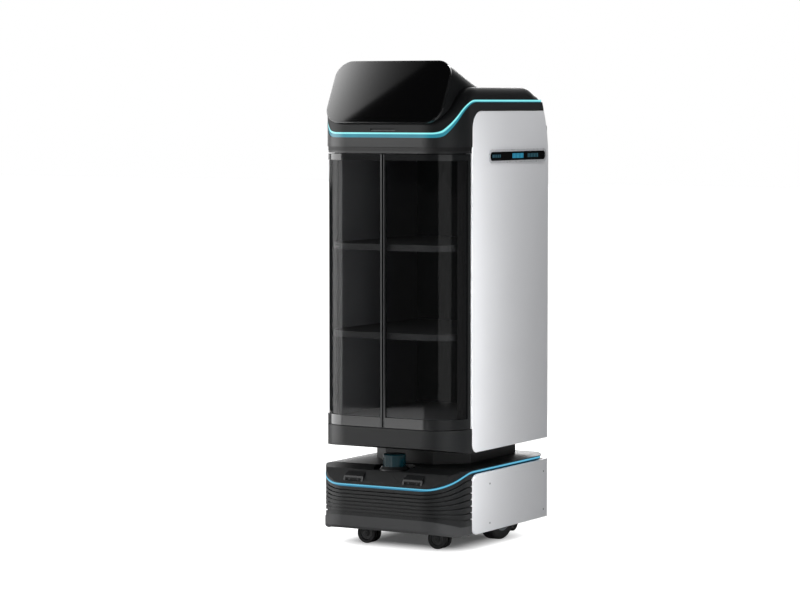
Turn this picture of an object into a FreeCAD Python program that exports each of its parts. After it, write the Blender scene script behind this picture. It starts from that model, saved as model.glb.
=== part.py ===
# Cabinet delivery robot: a wheeled base carrying a two-door cabinet with a screen on top.
# Frame: +Z up, the robot faces -Y, the origin lies on the floor under the middle of its length.
import FreeCAD, Part
import math
import os
import Sketcher

doc = FreeCAD.newDocument("robot")
sheet = doc.addObject("Spreadsheet::Sheet", "Sizes")

drivingSizes = {
    # the whole body
    "bodyWidth": 410,
    "bodyDepth": 524,
    "cornerRadius": 91,
    "rearRadius": 10,
    "panelThick": 5,
    "panelFrontSetback": 103,
    "overrun": 20,
    # base: rim, louvred skirt, light strip and deck
    "baseLead": 11,
    "rimLead": 4,
    "rimDepth": 10,
    "rimRound": 8,
    "rimBottomFront": 54,
    "rimBottomSide": 41,
    "rimTopFront": 87,
    "rimTopSide": 68,
    "rimBend": 62,
    "rimBendRadius": 60,
    "skirtThick": 7,
    "louvreCount": 7,
    "louvreGap": 3.6,
    "louvreDepth": 4,
    "louvreBend": 83,
    "louvreBendRadius": 60,
    "straightEnough": 8,
    "stripSide": 202.7,
    "stripDrop": 39.7,
    "stripTall": 5.5,
    "stripBend": 89,
    "stripBendRadius": 150,
    "stripThick": 6,
    "stripProud": 0.5,
    "stripEnd": 44,
    "deckLift": 1.3,
    "deckRise": 10,
    "deckLip": 1,
    "deckRearRadius": 45,
    "deckSlopeRun": 36,
    "deckSideRun": 24,
    "deckSideRise": 2,
    "deckPlugGap": 0.3,
    "deckPlugDepth": 13,
    "deckHollowStart": 48,
    "lidarWellRadius": 54,
    "basePanelGap": 4.7,
    "basePanelRadius": 30,
    "wallThick": 4,
    # running gear
    "plateBottom": 68,
    "plateThick": 6,
    "casterWheelRadius": 27,
    "casterWheelWidth": 14,
    "casterWheelEdge": 2.8,
    "casterDishRadius": 18,
    "casterLegHalf": 9,
    "casterLegLow": 9,
    "casterLegRise": 9,
    "casterLegLead": 8,
    "casterWebThick": 7,
    "casterGap": 0.6,
    "casterTrail": 16,
    "casterFrontIn": 115,
    "casterFrontBack": 122,
    "casterRearIn": 98,
    "casterRearInset": 56,
    "casterCapTall": 8,
    "casterBossTall": 10,
    "casterStemRadius": 5,
    "casterAxleRadius": 3,
    "casterCapRadius": 17,
    "pinClearance": 0.05,
    "driveRadius": 75,
    "driveWidth": 38,
    "hubDish": 6.3,
    "driveIn": 54,
    "driveInset": 187,
    "hubRadius": 52,
    "armLength": 95,
    "armThick": 14,
    "armGap": 3,
    "armPinRadius": 6,
    "wellMargin": 12,
    "armPivotLift": 9,
    "armEyeRadius": 13,
    "driveAxleRadius": 8,
    "bracketThick": 12,
    "tyreEdge": 5,
    "packIn": 115,
    "packLong": 160,
    "packTall": 90,
    "boardIn": 140,
    "boardGap": 40,
    "boardLong": 110,
    "boardTall": 40,
    # lidar
    "lidarBack": 71,
    "lidarRadius": 29.5,
    "lidarFootRadius": 39,
    "lidarFootTall": 10,
    "lidarFootRim": 3.3,
    "lidarTall": 32,
    "lidarCapTall": 5,
    "lidarWindowThick": 2.5,
    "lidarPinRadius": 4,
    "lidarRotorGap": 1.5,
    "podX": 88,
    "podWide": 59,
    "podTaper": 5,
    "podStart": 7,
    "podNose": 12,
    "podEnd": 31,
    "podLow": 7,
    "podBrow": 13,
    "podWindowIn": 6,
    "podWindowTall": 8,
    "podWindowDeep": 5,
    # pedestal between base and cabinet
    "pedestalTall": 40,
    "pedestalIn": 63,
    "pedestalBack": 147,
    "pedestalSlant": 75,
    "pedestalInset": 66,
    "pedestalNoseIn": 134,
    # cabinet
    "bumperLift": 16,
    "bumperRun": 90,
    "bumperTall": 63,
    "doorGap": 2,
    "doorBottomRail": 26,
    "doorTopRail": 16,
    "doorThick": 8,
    "glassThick": 4,
    "glassSetback": 3.5,
    "seamHalf": 2,
    "stileWide": 5,
    "hingeStile": 13,
    "knuckleRadius": 7.5,
    "hingeRun": 9,
    "hingePinRadius": 3,
    "hingePinReach": 8,
    "floorThick": 18,
    "innerInset": 14,
    "liningThick": 15,
    "backWall": 25,
    "shelfThick": 4,
    "shelfLip": 16,
    "shelfEdge": 2,
    "shelfPitch": 227,
    "topBay": 231,
    "clipWide": 16,
    "clipRearIn": 48,
    "clipTall": 8,
    "clipReach": 10,
    "panelRise": 110,
    "panelBottomRadius": 24,
    "panelTopRadius": 46,
    "panelLean": 26,
    "panelLeanStart": 65,
    "panelLeanRadius": 320,
    # side displays
    "displayBack": 86,
    "displayRearIn": 16,
    "displayDrop": 100,
    "displayTall": 35,
    "displayProud": 2,
    "displayRim": 6,
    # collar, upper strip and head
    "collarLipTall": 18,
    "collarLipDepth": 2.5,
    "collarTail": 37,
    "collarWall": 10,
    "haloLift": 42,
    "haloTall": 13,
    "haloClimb": 90,
    "haloSideTall": 6.5,
    "haloStart": 13,
    "haloRise": 80,
    "haloLowLag": 3.5,
    "haloHighLead": 1.5,
    "haloLowRadius": 22,
    "haloHighRadius": 85,
    "haloThick": 8,
    "haloInset": 1,
    "haloTail": 42,
    "roofLift": 38,
    "crownTail": 40,
    "crownRearRadius": 26,
    "crownStep": 1,
    "crownRise": 34,
    "crownLag": 10,
    "roofRearRadius": 100,
    "crownEdgeRadius": 20,
    "roofRearDrop": 65,
    "hoodRun": 190,
    "hoodFlare": 30,
    "hoodLevel": 45,
    "hoodBlendRadius": 150,
    "chinSlotHalf": 37,
    "chinSlotTall": 7,
    "chinSlotLift": 16,
    "chinSlotDeep": 4,
    "screenIn": 34,
    "screenTall": 178,
    "screenRadius": 46,
    "screenTilt": 26.7,
    "screenBack": 39,
    "screenLift": 116.5,
    "bezelThick": 6,
    "bezelRim": 3,
    "glassPlate": 2,
    "shellWall": 5,
    # rear fittings
    "rearRecess": 2,
    "stopDrop": 60,
    "stopRadius": 16,
    "stopStroke": 4,
    "stopStemReach": 1,
    "stopRecess": 14,
    "stopPocketRadius": 24,
    "stopStemRadius": 6,
    "stopCapTall": 8,
    "powerDrop": 48,
    "powerProud": 1,
    "powerRadius": 9,
    "powerReach": 6,
    "contactWide": 60,
    "contactTall": 9,
    "contactLift": 18,
    "contactProud": 1,
    "contactPitch": 20,
    "screwInset": 95.5,
    "screwRearInset": 23,
    "screwRise": 21.5,
    "screwDrop": 32,
    "screwRadius": 3.5,
    "screwTall": 0.8,
}
for row, (alias, amount) in enumerate(drivingSizes.items(), start=1):
    sheet.set("A%d" % row, alias)
    sheet.set("B%d" % row, str(amount))
    sheet.setAlias("B%d" % row, alias)
doc.recompute()


# A number that remembers the sheet expression it was worked out from.
class Dim:
    def __init__(self, value, text):
        self.value = value
        self.text = text

    def __add__(self, other):
        return join(self, other, "+")

    def __radd__(self, other):
        return join(other, self, "+")

    def __sub__(self, other):
        return join(self, other, "-")

    def __rsub__(self, other):
        return join(other, self, "-")

    def __mul__(self, other):
        return join(self, other, "*")

    def __rmul__(self, other):
        return join(other, self, "*")

    def __truediv__(self, other):
        return join(self, other, "/")

    def __neg__(self):
        return join(0, self, "-")


def asDim(amount):
    if isinstance(amount, Dim):
        return amount
    return Dim(float(amount), "(%r)" % float(amount))


def join(left, right, sign):
    a = asDim(left)
    b = asDim(right)
    if sign == "+":
        value = a.value + b.value
    elif sign == "-":
        value = a.value - b.value
    elif sign == "*":
        value = a.value * b.value
    else:
        value = a.value / b.value
    return Dim(value, "(%s %s %s)" % (a.text, sign, b.text))


def size(alias):
    return Dim(float(sheet.get(alias)), "Sizes." + alias)


def bind(thing, prop, amount):
    amount = asDim(amount)
    if not prop.startswith(("Placement", "AttachmentOffset")):
        setattr(thing, prop, amount.value)
    thing.setExpression(prop, amount.text)


# ---- sketches ----
def newBody(name):
    return doc.addObject("PartDesign::Body", name)


def newSketch(body, role, offset=0):
    sketch = body.newObject("Sketcher::SketchObject", body.Name + "_sketch")
    planes = [f for f in body.Origin.OriginFeatures if f.Role == role]
    sketch.AttachmentSupport = (planes[0], [""])
    sketch.MapMode = "FlatFace"
    bind(sketch, "AttachmentOffset.Base.z", offset)
    return sketch


def addDistance(sketch, kind, geometry, corner, amount):
    tie = Sketcher.Constraint(kind, -1, 1, geometry, corner, amount.value)
    index = sketch.addConstraint(tie)
    sketch.setExpression("Constraints[%d]" % index, amount.text)


def pinPoint(sketch, geometry, corner, x, y):
    for kind, amount, axis in (("DistanceX", asDim(x), -2), ("DistanceY", asDim(y), -1)):
        if amount.value == 0:
            sketch.addConstraint(Sketcher.Constraint("PointOnObject", geometry, corner, axis))
            continue
        addDistance(sketch, kind, geometry, corner, amount)


def drawLoop(sketch, points):
    first = sketch.GeometryCount
    spots = [FreeCAD.Vector(asDim(x).value, asDim(y).value, 0) for x, y in points]
    count = len(spots)
    lines = [Part.LineSegment(spots[i], spots[(i + 1) % count]) for i in range(count)]
    sketch.addGeometry(lines, False)
    ties = [Sketcher.Constraint("Coincident", first + i, 2, first + (i + 1) % count, 1)
            for i in range(count)]
    sketch.addConstraint(ties)
    for i, (x, y) in enumerate(points):
        pinPoint(sketch, first + i, 1, x, y)


# A rectangle with its own radius at each corner, drawn from the bottom edge round to the left.
def drawRounded(sketch, x0, x1, y0, y1, lowRadius, highRadius):
    first = sketch.GeometryCount
    left, right = asDim(x0).value, asDim(x1).value
    low, high = asDim(y0).value, asDim(y1).value
    r, q = asDim(lowRadius).value, asDim(highRadius).value
    ends = [
        ((left + r, low), (right - r, low)),
        ((right, low + r), (right, high - q)),
        ((right - q, high), (left + q, high)),
        ((left, high - q), (left, low + r)),
    ]
    centres = [
        (right - r, low + r, r, -90),
        (right - q, high - q, q, 0),
        (left + q, high - q, q, 90),
        (left + r, low + r, r, 180),
    ]
    shapes = []
    for (start, end), (cx, cy, radius, angle) in zip(ends, centres):
        shapes.append(Part.LineSegment(FreeCAD.Vector(*start, 0), FreeCAD.Vector(*end, 0)))
        circle = Part.Circle(FreeCAD.Vector(cx, cy, 0), FreeCAD.Vector(0, 0, 1), radius)
        turn = math.radians(angle)
        shapes.append(Part.ArcOfCircle(circle, turn, turn + math.pi / 2))
    sketch.addGeometry(shapes, False)
    ties = [Sketcher.Constraint("Tangent", first + i, 2, first + (i + 1) % 8, 1) for i in range(8)]
    ties += [Sketcher.Constraint("Horizontal", first), Sketcher.Constraint("Vertical", first + 2)]
    ties += [Sketcher.Constraint("Horizontal", first + 4), Sketcher.Constraint("Vertical", first + 6)]
    ties += [Sketcher.Constraint("Equal", first + 1, first + 7)]
    ties += [Sketcher.Constraint("Equal", first + 3, first + 5)]
    sketch.addConstraint(ties)
    addDistance(sketch, "DistanceY", first, 1, asDim(y0))
    addDistance(sketch, "DistanceX", first + 2, 1, asDim(x1))
    addDistance(sketch, "DistanceY", first + 4, 1, asDim(y1))
    addDistance(sketch, "DistanceX", first + 6, 1, asDim(x0))
    for arc, radius in ((first + 1, lowRadius), (first + 3, highRadius)):
        index = sketch.addConstraint(Sketcher.Constraint("Radius", arc, asDim(radius).value))
        sketch.setExpression("Constraints[%d]" % index, asDim(radius).text)


# ---- features ----
def addPad(body, sketch, length):
    pad = body.newObject("PartDesign::Pad", body.Name + "_pad")
    pad.Profile = sketch
    bind(pad, "Length", length)
    return pad


# Straight edges along one axis that pass through the given spots of the other two coordinates.
def edgesAlong(shape, axis, spots):
    others = [i for i in range(3) if i != axis]
    found = []
    for index, edge in enumerate(shape.Edges, start=1):
        a, b = edge.Vertexes[0].Point, edge.Vertexes[-1].Point
        if abs(a[axis] - b[axis]) < 0.01 or not isinstance(edge.Curve, Part.Line):
            continue
        for spot in spots:
            gaps = [abs(p[i] - s) for p in (a, b) for i, s in zip(others, spot)]
            if max(gaps) < 0.01:
                found.append("Edge%d" % index)
    return found


# Edges that lie wholly in the plane at one value of one coordinate.
def edgesInPlane(shape, axis, level):
    found = []
    for index, edge in enumerate(shape.Edges, start=1):
        box = edge.BoundBox
        ends = ((box.XMin, box.XMax), (box.YMin, box.YMax), (box.ZMin, box.ZMax))[axis]
        if max(abs(ends[0] - level), abs(ends[1] - level)) < 0.01:
            found.append("Edge%d" % index)
    return found


def addFillet(body, names, radius):
    if not names:
        raise RuntimeError("no edge to round on " + body.Name)
    before = body.Tip
    fillet = body.newObject("PartDesign::Fillet", body.Name + "_fillet")
    fillet.Base = (before, names)
    bind(fillet, "Radius", radius)
    body.Tip = fillet
    doc.recompute()
    return fillet


def numbers(spots):
    return [(asDim(a).value, asDim(b).value) for a, b in spots]


# A rounded rectangle seen from above, raised from z0 to z1.
def planSolid(name, half, front, rear, frontRadius, rearRadius, z0, z1):
    body = newBody(name)
    sketch = newSketch(body, "XY_Plane", z0)
    drawRounded(sketch, -half, half, front, rear, frontRadius, rearRadius)
    addPad(body, sketch, z1 - z0)
    return body


# A polygon seen from the side (y, z), carried from x0 to x1; bends lists (corner, radius).
def sideSolid(name, points, x0, x1, bends=()):
    body = newBody(name)
    sketch = newSketch(body, "YZ_Plane", x0)
    drawLoop(sketch, points)
    addPad(body, sketch, x1 - x0)
    doc.recompute()
    for corner, radius in bends:
        spots = numbers([points[corner]])
        addFillet(body, edgesAlong(body.Tip.Shape, 0, spots), radius)
    return body


# A polygon seen from the front (x, z), carried from y1 forward to y0.
def frontSolid(name, points, y0, y1):
    body = newBody(name)
    sketch = newSketch(body, "XZ_Plane", -asDim(y1))
    drawLoop(sketch, points)
    addPad(body, sketch, y1 - y0)
    return body


# A polygon seen from above, raised from z0 to z1.
def footprintSolid(name, points, z0, z1):
    body = newBody(name)
    sketch = newSketch(body, "XY_Plane", z0)
    drawLoop(sketch, points)
    addPad(body, sketch, z1 - z0)
    return body


# A profile of (radius, height) turned about the vertical.
def turnedSolid(name, profile):
    body = newBody(name)
    sketch = newSketch(body, "XZ_Plane")
    drawLoop(sketch, profile)
    turn = body.newObject("PartDesign::Revolution", name + "_turn")
    turn.Profile = sketch
    turn.ReferenceAxis = (sketch, ["V_Axis"])
    turn.Angle = 360
    return body


def place(thing, x=0, y=0, z=0, axis=(0, 0, 1), angle=0):
    turn = FreeCAD.Rotation(FreeCAD.Vector(*axis), angle)
    thing.Placement = FreeCAD.Placement(FreeCAD.Vector(0, 0, 0), turn)
    for prop, amount in (("x", x), ("y", y), ("z", z)):
        bind(thing, "Placement.Base." + prop, amount)
    return thing


def box(name, x0, x1, y0, y1, z0, z1):
    solid = doc.addObject("Part::Box", name)
    bind(solid, "Length", x1 - x0)
    bind(solid, "Width", y1 - y0)
    bind(solid, "Height", z1 - z0)
    return place(solid, x0, y0, z0)


directions = {"x": ((0, 1, 0), 90), "y": ((1, 0, 0), -90), "z": ((0, 0, 1), 0)}


# A round bar that starts at the given point and runs along +x, +y or +z.
def rod(name, x, y, z, radius, length, along="z"):
    solid = doc.addObject("Part::Cylinder", name)
    bind(solid, "Radius", radius)
    bind(solid, "Height", length)
    axis, angle = directions[along]
    return place(solid, x, y, z, axis, angle)


def cut(name, base, tool):
    result = doc.addObject("Part::Cut", name)
    result.Base = base
    result.Tool = tool
    return result


def common(name, *things):
    result = doc.addObject("Part::MultiCommon", name)
    result.Shapes = list(things)
    return result


def fuse(name, *things):
    result = doc.addObject("Part::MultiFuse", name)
    result.Shapes = list(things)
    return result


def group(name, *things):
    result = doc.addObject("Part::Compound", name)
    result.Links = list(things)
    return result


def mirrored(name, source):
    result = doc.addObject("Part::Mirroring", name)
    result.Source = source
    result.Normal = FreeCAD.Vector(1, 0, 0)
    return result


nodes = {}


def keep(name, thing):
    thing.Label = name
    nodes[name] = thing
    return thing


# ---- shared places ----
half = size("bodyWidth") / 2
rear = (size("bodyDepth") + size("baseLead") + size("rimLead")) / 2
front = rear - size("bodyDepth")
baseFront = front - size("baseLead")
panelFront = front + size("panelFrontSetback")
innerFace = half - size("panelThick")
rearFace = rear - size("rearRecess")
overrun = size("overrun")
plateTop = size("plateBottom") + size("plateThick")
stripFront = size("stripSide") - size("stripDrop")
basePanelTop = size("stripSide") - size("basePanelGap")
deckShoulder = size("stripSide") + size("deckLift")
deckTop = deckShoulder + size("deckRise")
cabinetBottom = deckTop + size("pedestalTall")
bumperFront = cabinetBottom + size("bumperLift")
bumperTop = cabinetBottom + size("bumperTall")
floorTop = bumperTop + size("floorThick")
shelfLow = floorTop + size("shelfPitch")
shelfHigh = shelfLow + size("shelfPitch")
doorTop = shelfHigh + size("topBay")
panelTop = doorTop + size("panelRise")
collarLipTop = doorTop + size("collarLipTall")
haloFront = doorTop + size("haloLift")
haloSide = haloFront + size("haloClimb")
roofTop = haloSide + size("roofLift")
screenMiddle = haloFront + size("screenLift")
screenHalf = half - size("screenIn")
driveX = half - size("driveIn")
casterFrontX = half - size("casterFrontIn")
casterRearX = half - size("casterRearIn")


# A line that climbs from the front and levels off behind the corner; one bend, at index 1.
def climbingEdge(frontLevel, sideLevel, run, end):
    slope = (sideLevel - frontLevel) / run
    return [
        (baseFront - overrun, frontLevel - slope * overrun),
        (baseFront + run, sideLevel),
        (end, sideLevel),
    ]


# A level line that rises round the corner and levels off again; two bends, at 1 and 2.
def haloEdge(frontLevel, sideLevel, lag, end):
    return [
        (front - overrun, frontLevel),
        (front + size("haloStart") + lag, frontLevel),
        (front + size("haloRise") + lag, sideLevel),
        (end, sideLevel),
    ]


# The wall between two plan outlines, open at no side.
def ringSolid(name, outerInset, thick, nose, z0, z1):
    outer = planSolid(name + "_outer", half - outerInset, nose + outerInset, rear - outerInset,
                      size("cornerRadius") - outerInset, size("rearRadius"), z0, z1)
    inset = outerInset + thick
    inner = planSolid(name + "_inner", half - inset, nose + inset, rear - inset,
                      size("cornerRadius") - inset, size("rearRadius"), z0, z1)
    return cut(name, outer, inner)


# ---- base ----
def bandSolid(name, low, high, bendLow, bendHigh):
    points = low + high[::-1]
    bends = [(1, bendLow), (len(points) - 2, bendHigh)]
    if abs(low[0][1].value - low[1][1].value) < size("straightEnough").value:
        bends = []
    return sideSolid(name, points, -half - overrun, half + overrun, bends)


# Everything in front of one place along the robot.
def noseBlock(name, end):
    return box(name, -half - overrun, half + overrun, baseFront - overrun, end,
               asDim(0), cabinetBottom)


def makeRim():
    nose = baseFront - size("rimLead")
    depth = size("rimDepth")
    low = size("rimBottomSide") - overrun
    top = size("rimTopFront") + overrun
    corner = size("cornerRadius")
    body = planSolid("rimBlock", half, nose, rear, corner, size("rearRadius"), low, top)
    under = climbingEdge(size("rimBottomFront"), size("rimBottomSide"), size("rimBend"), panelFront)
    over = climbingEdge(size("rimTopFront"), size("rimTopSide"), size("rimBend"), panelFront)
    band = bandSolid("rimBand", under, over, size("rimBendRadius"), size("rimBendRadius"))
    blend = body.newObject("PartDesign::Boolean", "rimBoolean")
    blend.Type = "Common"
    blend.setObjects([band])
    doc.recompute()
    addFillet(body, wallEdges(body.Tip.Shape, -1), size("rimRound"))
    core = planSolid("rimCore", half - depth, nose + depth, rear, corner - depth,
                     size("rearRadius"), low, top)
    keep("base_rim", cut("rim", body, core))


def makeSkirt():
    wall = ringSolid("skirtWall", 0, size("skirtThick"), baseFront,
                     size("rimTopSide") - overrun, size("stripSide") + overrun)
    low = climbingEdge(size("rimTopFront"), size("rimTopSide"), size("rimBend"), rear)
    high = climbingEdge(stripFront, size("stripSide"), size("stripBend"), rear)
    band = bandSolid("skirtBand", low, high, size("rimBendRadius"), size("stripBendRadius"))
    blank = common("skirtBlank", wall, band, noseBlock("skirtNose", panelFront))
    keep("base_skirt", cut("skirt", blank, makeLouvres()))


# Level slots at the front that fan out towards the sides, cut to one depth all round.
def makeLouvres():
    count = int(size("louvreCount").value)
    rows = []
    for row in range(1, count + 1):
        share = Dim(row, str(row)) / (size("louvreCount") + 1)
        atFront = size("rimTopFront") + (stripFront - size("rimTopFront")) * share
        atSide = size("rimTopSide") + (size("stripSide") - size("rimTopSide")) * share
        gap = size("louvreGap") / 2
        low = climbingEdge(atFront - gap, atSide - gap, size("louvreBend"), panelFront)
        high = climbingEdge(atFront + gap, atSide + gap, size("louvreBend"), panelFront)
        radius = size("louvreBendRadius")
        rows.append(bandSolid("louvre%d" % row, low, high, radius, radius))
    depth = size("louvreDepth")
    core = planSolid("louvreCore", half - depth, baseFront + depth, rear,
                     size("cornerRadius") - depth, size("rearRadius"),
                     size("rimTopSide") - overrun, size("stripSide") + overrun)
    return cut("louvres", fuse("louvreRows", *rows), core)


def makeBaseStrip():
    wall = ringSolid("stripWall", -size("stripProud"), size("stripThick"), baseFront,
                     stripFront - overrun, size("stripSide") + overrun)
    end = rear - size("stripEnd")
    low = climbingEdge(stripFront, size("stripSide"), size("stripBend"), end)
    tall = size("stripTall")
    high = climbingEdge(stripFront + tall, size("stripSide") + tall, size("stripBend"), end)
    band = bandSolid("stripBand", low, high, size("stripBendRadius"), size("stripBendRadius"))
    keep("base_light_strip", common("strip", wall, band))


def makeDeck():
    tall = size("stripTall")
    under = climbingEdge(stripFront + tall, size("stripSide") + tall, size("stripBend"),
                         rear + overrun)
    cap = deckTop + overrun
    over = [(rear + overrun, cap), (baseFront - overrun, cap)]
    above = sideSolid("deckAbove", under + over, -half - overrun, half + overrun,
                      [(1, size("stripBendRadius"))])
    footprint = planSolid("deckFootprint", half, baseFront, rearFace, size("cornerRadius"),
                          size("deckRearRadius"), stripFront, cap)
    inset = size("panelThick") + size("wallThick") + size("deckPlugGap")
    corner = size("cornerRadius") - inset
    bottom = basePanelTop - size("deckPlugDepth")
    seat = planSolid("deckSeat", half - inset, baseFront + inset, rearFace - inset, corner,
                     size("rearRadius"), bottom, basePanelTop)
    plug = planSolid("deckPlug", half - inset, baseFront + inset, rearFace - inset, corner,
                     size("deckRearRadius") - inset, bottom, cap)
    lid = common("deckLid", above, footprint)
    shaped = common("deckShaped", fuse("deckBlank", lid, plug, seat), makeDeckProfile(),
                    makeDeckCrown())
    well = rod("lidarWell", 0, baseFront + size("lidarBack"), deckShoulder,
               size("lidarWellRadius"), overrun)
    inner = half - inset - size("wallThick")
    hollow = box("deckHollow", -inner, inner, baseFront + size("deckHollowStart"),
                 rearFace - inset - size("wallThick"), bottom - overrun,
                 deckShoulder - size("wallThick"))
    pod, window = makePod()
    cuts = group("deckCuts", well, hollow, window, mirrored("podWindowLeft", window))
    keep("base_deck", cut("deck", fuse("deckPods", shaped, pod, mirrored("podLeft", pod)), cuts))


# A faceted sensor housing on the sloping nose of the deck, with a window cut into its face.
def makePod():
    slope = (deckShoulder - stripFront - size("stripTall") - size("deckLip")) / size("deckSlopeRun")
    foot = stripFront + size("stripTall") + size("deckLip")
    start = size("podStart")
    end = size("podEnd")
    brow = foot + slope * start + size("podBrow")
    side = sideSolid("podSide", [
        (baseFront + start, foot + slope * start - size("deckLip")),
        (baseFront + end, foot + slope * end - size("deckLip")),
        (baseFront + end, foot + slope * end),
        (baseFront + size("podNose"), brow),
    ], asDim(0), half)
    left = size("podX") - size("podWide") / 2
    right = size("podX") + size("podWide") / 2
    taper = size("podTaper")
    face = frontSolid("podFace", [
        (left, foot),
        (right, foot),
        (right, brow - taper),
        (right - taper, deckShoulder),
        (left + taper, deckShoulder),
        (left, brow - taper),
    ], baseFront, baseFront + end)
    low = foot + size("podLow")
    window = box("podWindow", left + size("podWindowIn"), right - size("podWindowIn"),
                 baseFront, baseFront + size("podNose") + size("podWindowDeep"), low,
                 low + size("podWindowTall"))
    return common("pod", side, face), window


# Side view of the deck's top: a steep nose, then a gentler rise to the level part.
def makeDeckProfile():
    lip = stripFront + size("stripTall") + size("deckLip")
    nose = baseFront + size("deckSlopeRun")
    points = [
        (baseFront - overrun, size("rimTopSide")),
        (rear + overrun, size("rimTopSide")),
        (rear + overrun, deckTop),
        (nose + size("deckSlopeRun"), deckTop),
        (nose, deckShoulder),
        (baseFront, lip),
        (baseFront - overrun, lip),
    ]
    return sideSolid("deckProfile", points, -half - overrun, half + overrun)


# Front view of the deck: its long edges fall away towards the light strip.
def makeDeckCrown():
    low = size("rimTopSide")
    edge = size("stripSide") + size("stripTall") + size("deckSideRise")
    inner = half - size("deckSideRun")
    points = [
        (-half, low),
        (half, low),
        (half, edge),
        (inner, deckTop),
        (-inner, deckTop),
        (-half, edge),
    ]
    return frontSolid("deckCrown", points, baseFront - overrun, rear + overrun)


def makeBasePanels():
    bottom = size("rimBottomSide")
    top = basePanelTop
    points = [(panelFront, bottom), (rear, bottom), (rear, top), (panelFront, top)]
    radius = size("basePanelRadius")
    body = sideSolid("basePanel", points, innerFace, half, [(0, radius), (3, radius)])
    addFillet(body, edgesInPlane(body.Tip.Shape, 0, half.value), size("panelThick") / 2)
    keep("base_panel_right", body)
    keep("base_panel_left", mirrored("basePanelLeft", body))
    screws = []
    for y in (panelFront + size("screwInset"), rear - size("screwRearInset")):
        for z in (bottom + size("screwRise"), top - size("screwDrop")):
            screw = doc.addObject("Part::Prism", "screw")
            screw.Polygon = 6
            bind(screw, "Circumradius", size("screwRadius"))
            bind(screw, "Height", size("screwTall"))
            place(screw, half, y, z, (0, 1, 0), 90)
            screws += [screw, mirrored("screwLeft", screw)]
    keep("panel_screws", group("screws", *screws))


def makeBaseWalls():
    thick = size("wallThick")
    right = box("baseWall", innerFace - thick, innerFace, panelFront, rearFace - thick,
                size("rimBottomSide") + thick, basePanelTop)
    keep("base_wall_right", right)
    keep("base_wall_left", mirrored("baseWallLeft", right))
    cover = box("baseRear", -innerFace, innerFace, rearFace - thick, rearFace,
                size("rimBottomSide") + thick, basePanelTop)
    z = basePanelTop - size("powerDrop")
    radius = size("powerRadius")
    hole = rod("powerHole", 0, rearFace - overrun, z, radius + size("pinClearance"),
               overrun * 2, "y")
    keep("base_rear_cover", cut("baseRearCut", cover, hole))
    deep = thick + size("powerReach")
    keep("power_button", rod("power", 0, rearFace - deep, z, radius, deep + size("powerProud"), "y"))
    strips = []
    wide = size("contactWide") / 2
    first = plateTop + size("contactLift")
    for level in (first, first + size("contactPitch")):
        strips.append(box("contact", -wide, wide, rearFace, rearFace + size("contactProud"), level,
                          level + size("contactTall")))
    keep("charging_contacts", group("contacts", *strips))


# ---- running gear ----
driveY = rear - size("driveInset")
armY = driveY - size("armLength")
armX = driveX - size("driveWidth") / 2 - size("armGap") - size("armThick")
casterSpots = {
    "front_right": (casterFrontX, baseFront + size("casterFrontBack"), 0),
    "front_left": (-casterFrontX, baseFront + size("casterFrontBack"), 180),
    "rear_right": (casterRearX, rear - size("casterRearInset"), 90),
    "rear_left": (-casterRearX, rear - size("casterRearInset"), 90),
}


def makeChassisPlate():
    inset = size("skirtThick")
    plate = planSolid("plateBlank", half - size("panelThick") - size("wallThick"),
                      baseFront + inset, rearFace - size("wallThick"),
                      size("cornerRadius") - inset, size("rearRadius") / 2,
                      size("plateBottom"), plateTop)
    bosses = []
    bores = []
    for spot, (x, y, angle) in casterSpots.items():
        wide = size("casterStemRadius") + size("wallThick")
        bosses.append(box("boss_" + spot, x - wide, x + wide, y - wide, y + wide, plateTop,
                          plateTop + size("casterBossTall")))
        bores.append(rod("bore_" + spot, x, y, size("plateBottom") - overrun,
                         size("casterStemRadius") + size("pinClearance"), cabinetBottom))
    margin = size("wellMargin")
    reach = size("driveRadius") + margin
    well = box("well", armX - size("armGap"), driveX + size("driveWidth") / 2 + margin,
               armY - size("armEyeRadius") - margin, driveY + reach,
               size("plateBottom") - overrun, plateTop + overrun)
    cuts = group("plateCuts", well, mirrored("wellLeft", well), *bores)
    keep("chassis_plate", cut("plate", fuse("plateBossed", plate, *bosses), cuts))


# One swivel caster: the fork turns about its stem, the twin wheels turn on its axle.
def makeCaster(spot, x, y, angle):
    capTop = size("plateBottom") - size("casterGap")
    capBottom = capTop - size("casterCapTall")
    radius = size("casterWheelRadius")
    web = size("casterWebThick") / 2
    trail = size("casterTrail")
    cap = rod("cap_" + spot, 0, 0, capBottom, size("casterCapRadius"), size("casterCapTall"))
    stem = rod("stem_" + spot, 0, 0, capTop, size("casterStemRadius"),
               size("casterGap") + size("plateThick") + size("casterBossTall"))
    footHalf = size("casterLegHalf")
    leg = frontSolid("leg_" + spot, [
        (-size("casterLegLead"), capBottom),
        (trail - footHalf, radius - size("casterLegLow")),
        (trail + footHalf, radius - size("casterLegLow")),
        (trail + footHalf, radius + size("casterLegRise")),
        (trail, capBottom),
        ], -web, web)
    gap = size("casterGap")
    reach = web + gap + size("casterWheelWidth")
    axle = rod("axle_" + spot, trail, -reach, radius, size("casterAxleRadius"), reach * 2, "y")
    fork = fuse("fork_" + spot, cap, stem, leg, axle)
    place(fork, x, y, 0, (0, 0, 1), angle)
    keep("caster_fork_" + spot, fork)
    wheel = turnedSolid("wheel_" + spot, casterWheelProfile())
    place(wheel, trail, -web - gap, radius, (1, 0, 0), 90)
    twin = turnedSolid("twin_" + spot, casterWheelProfile())
    place(twin, trail, web + gap, radius, (1, 0, 0), -90)
    pair = group("pair_" + spot, wheel, twin)
    place(pair, x, y, 0, (0, 0, 1), angle)
    keep("caster_wheels_" + spot, pair)


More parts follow.
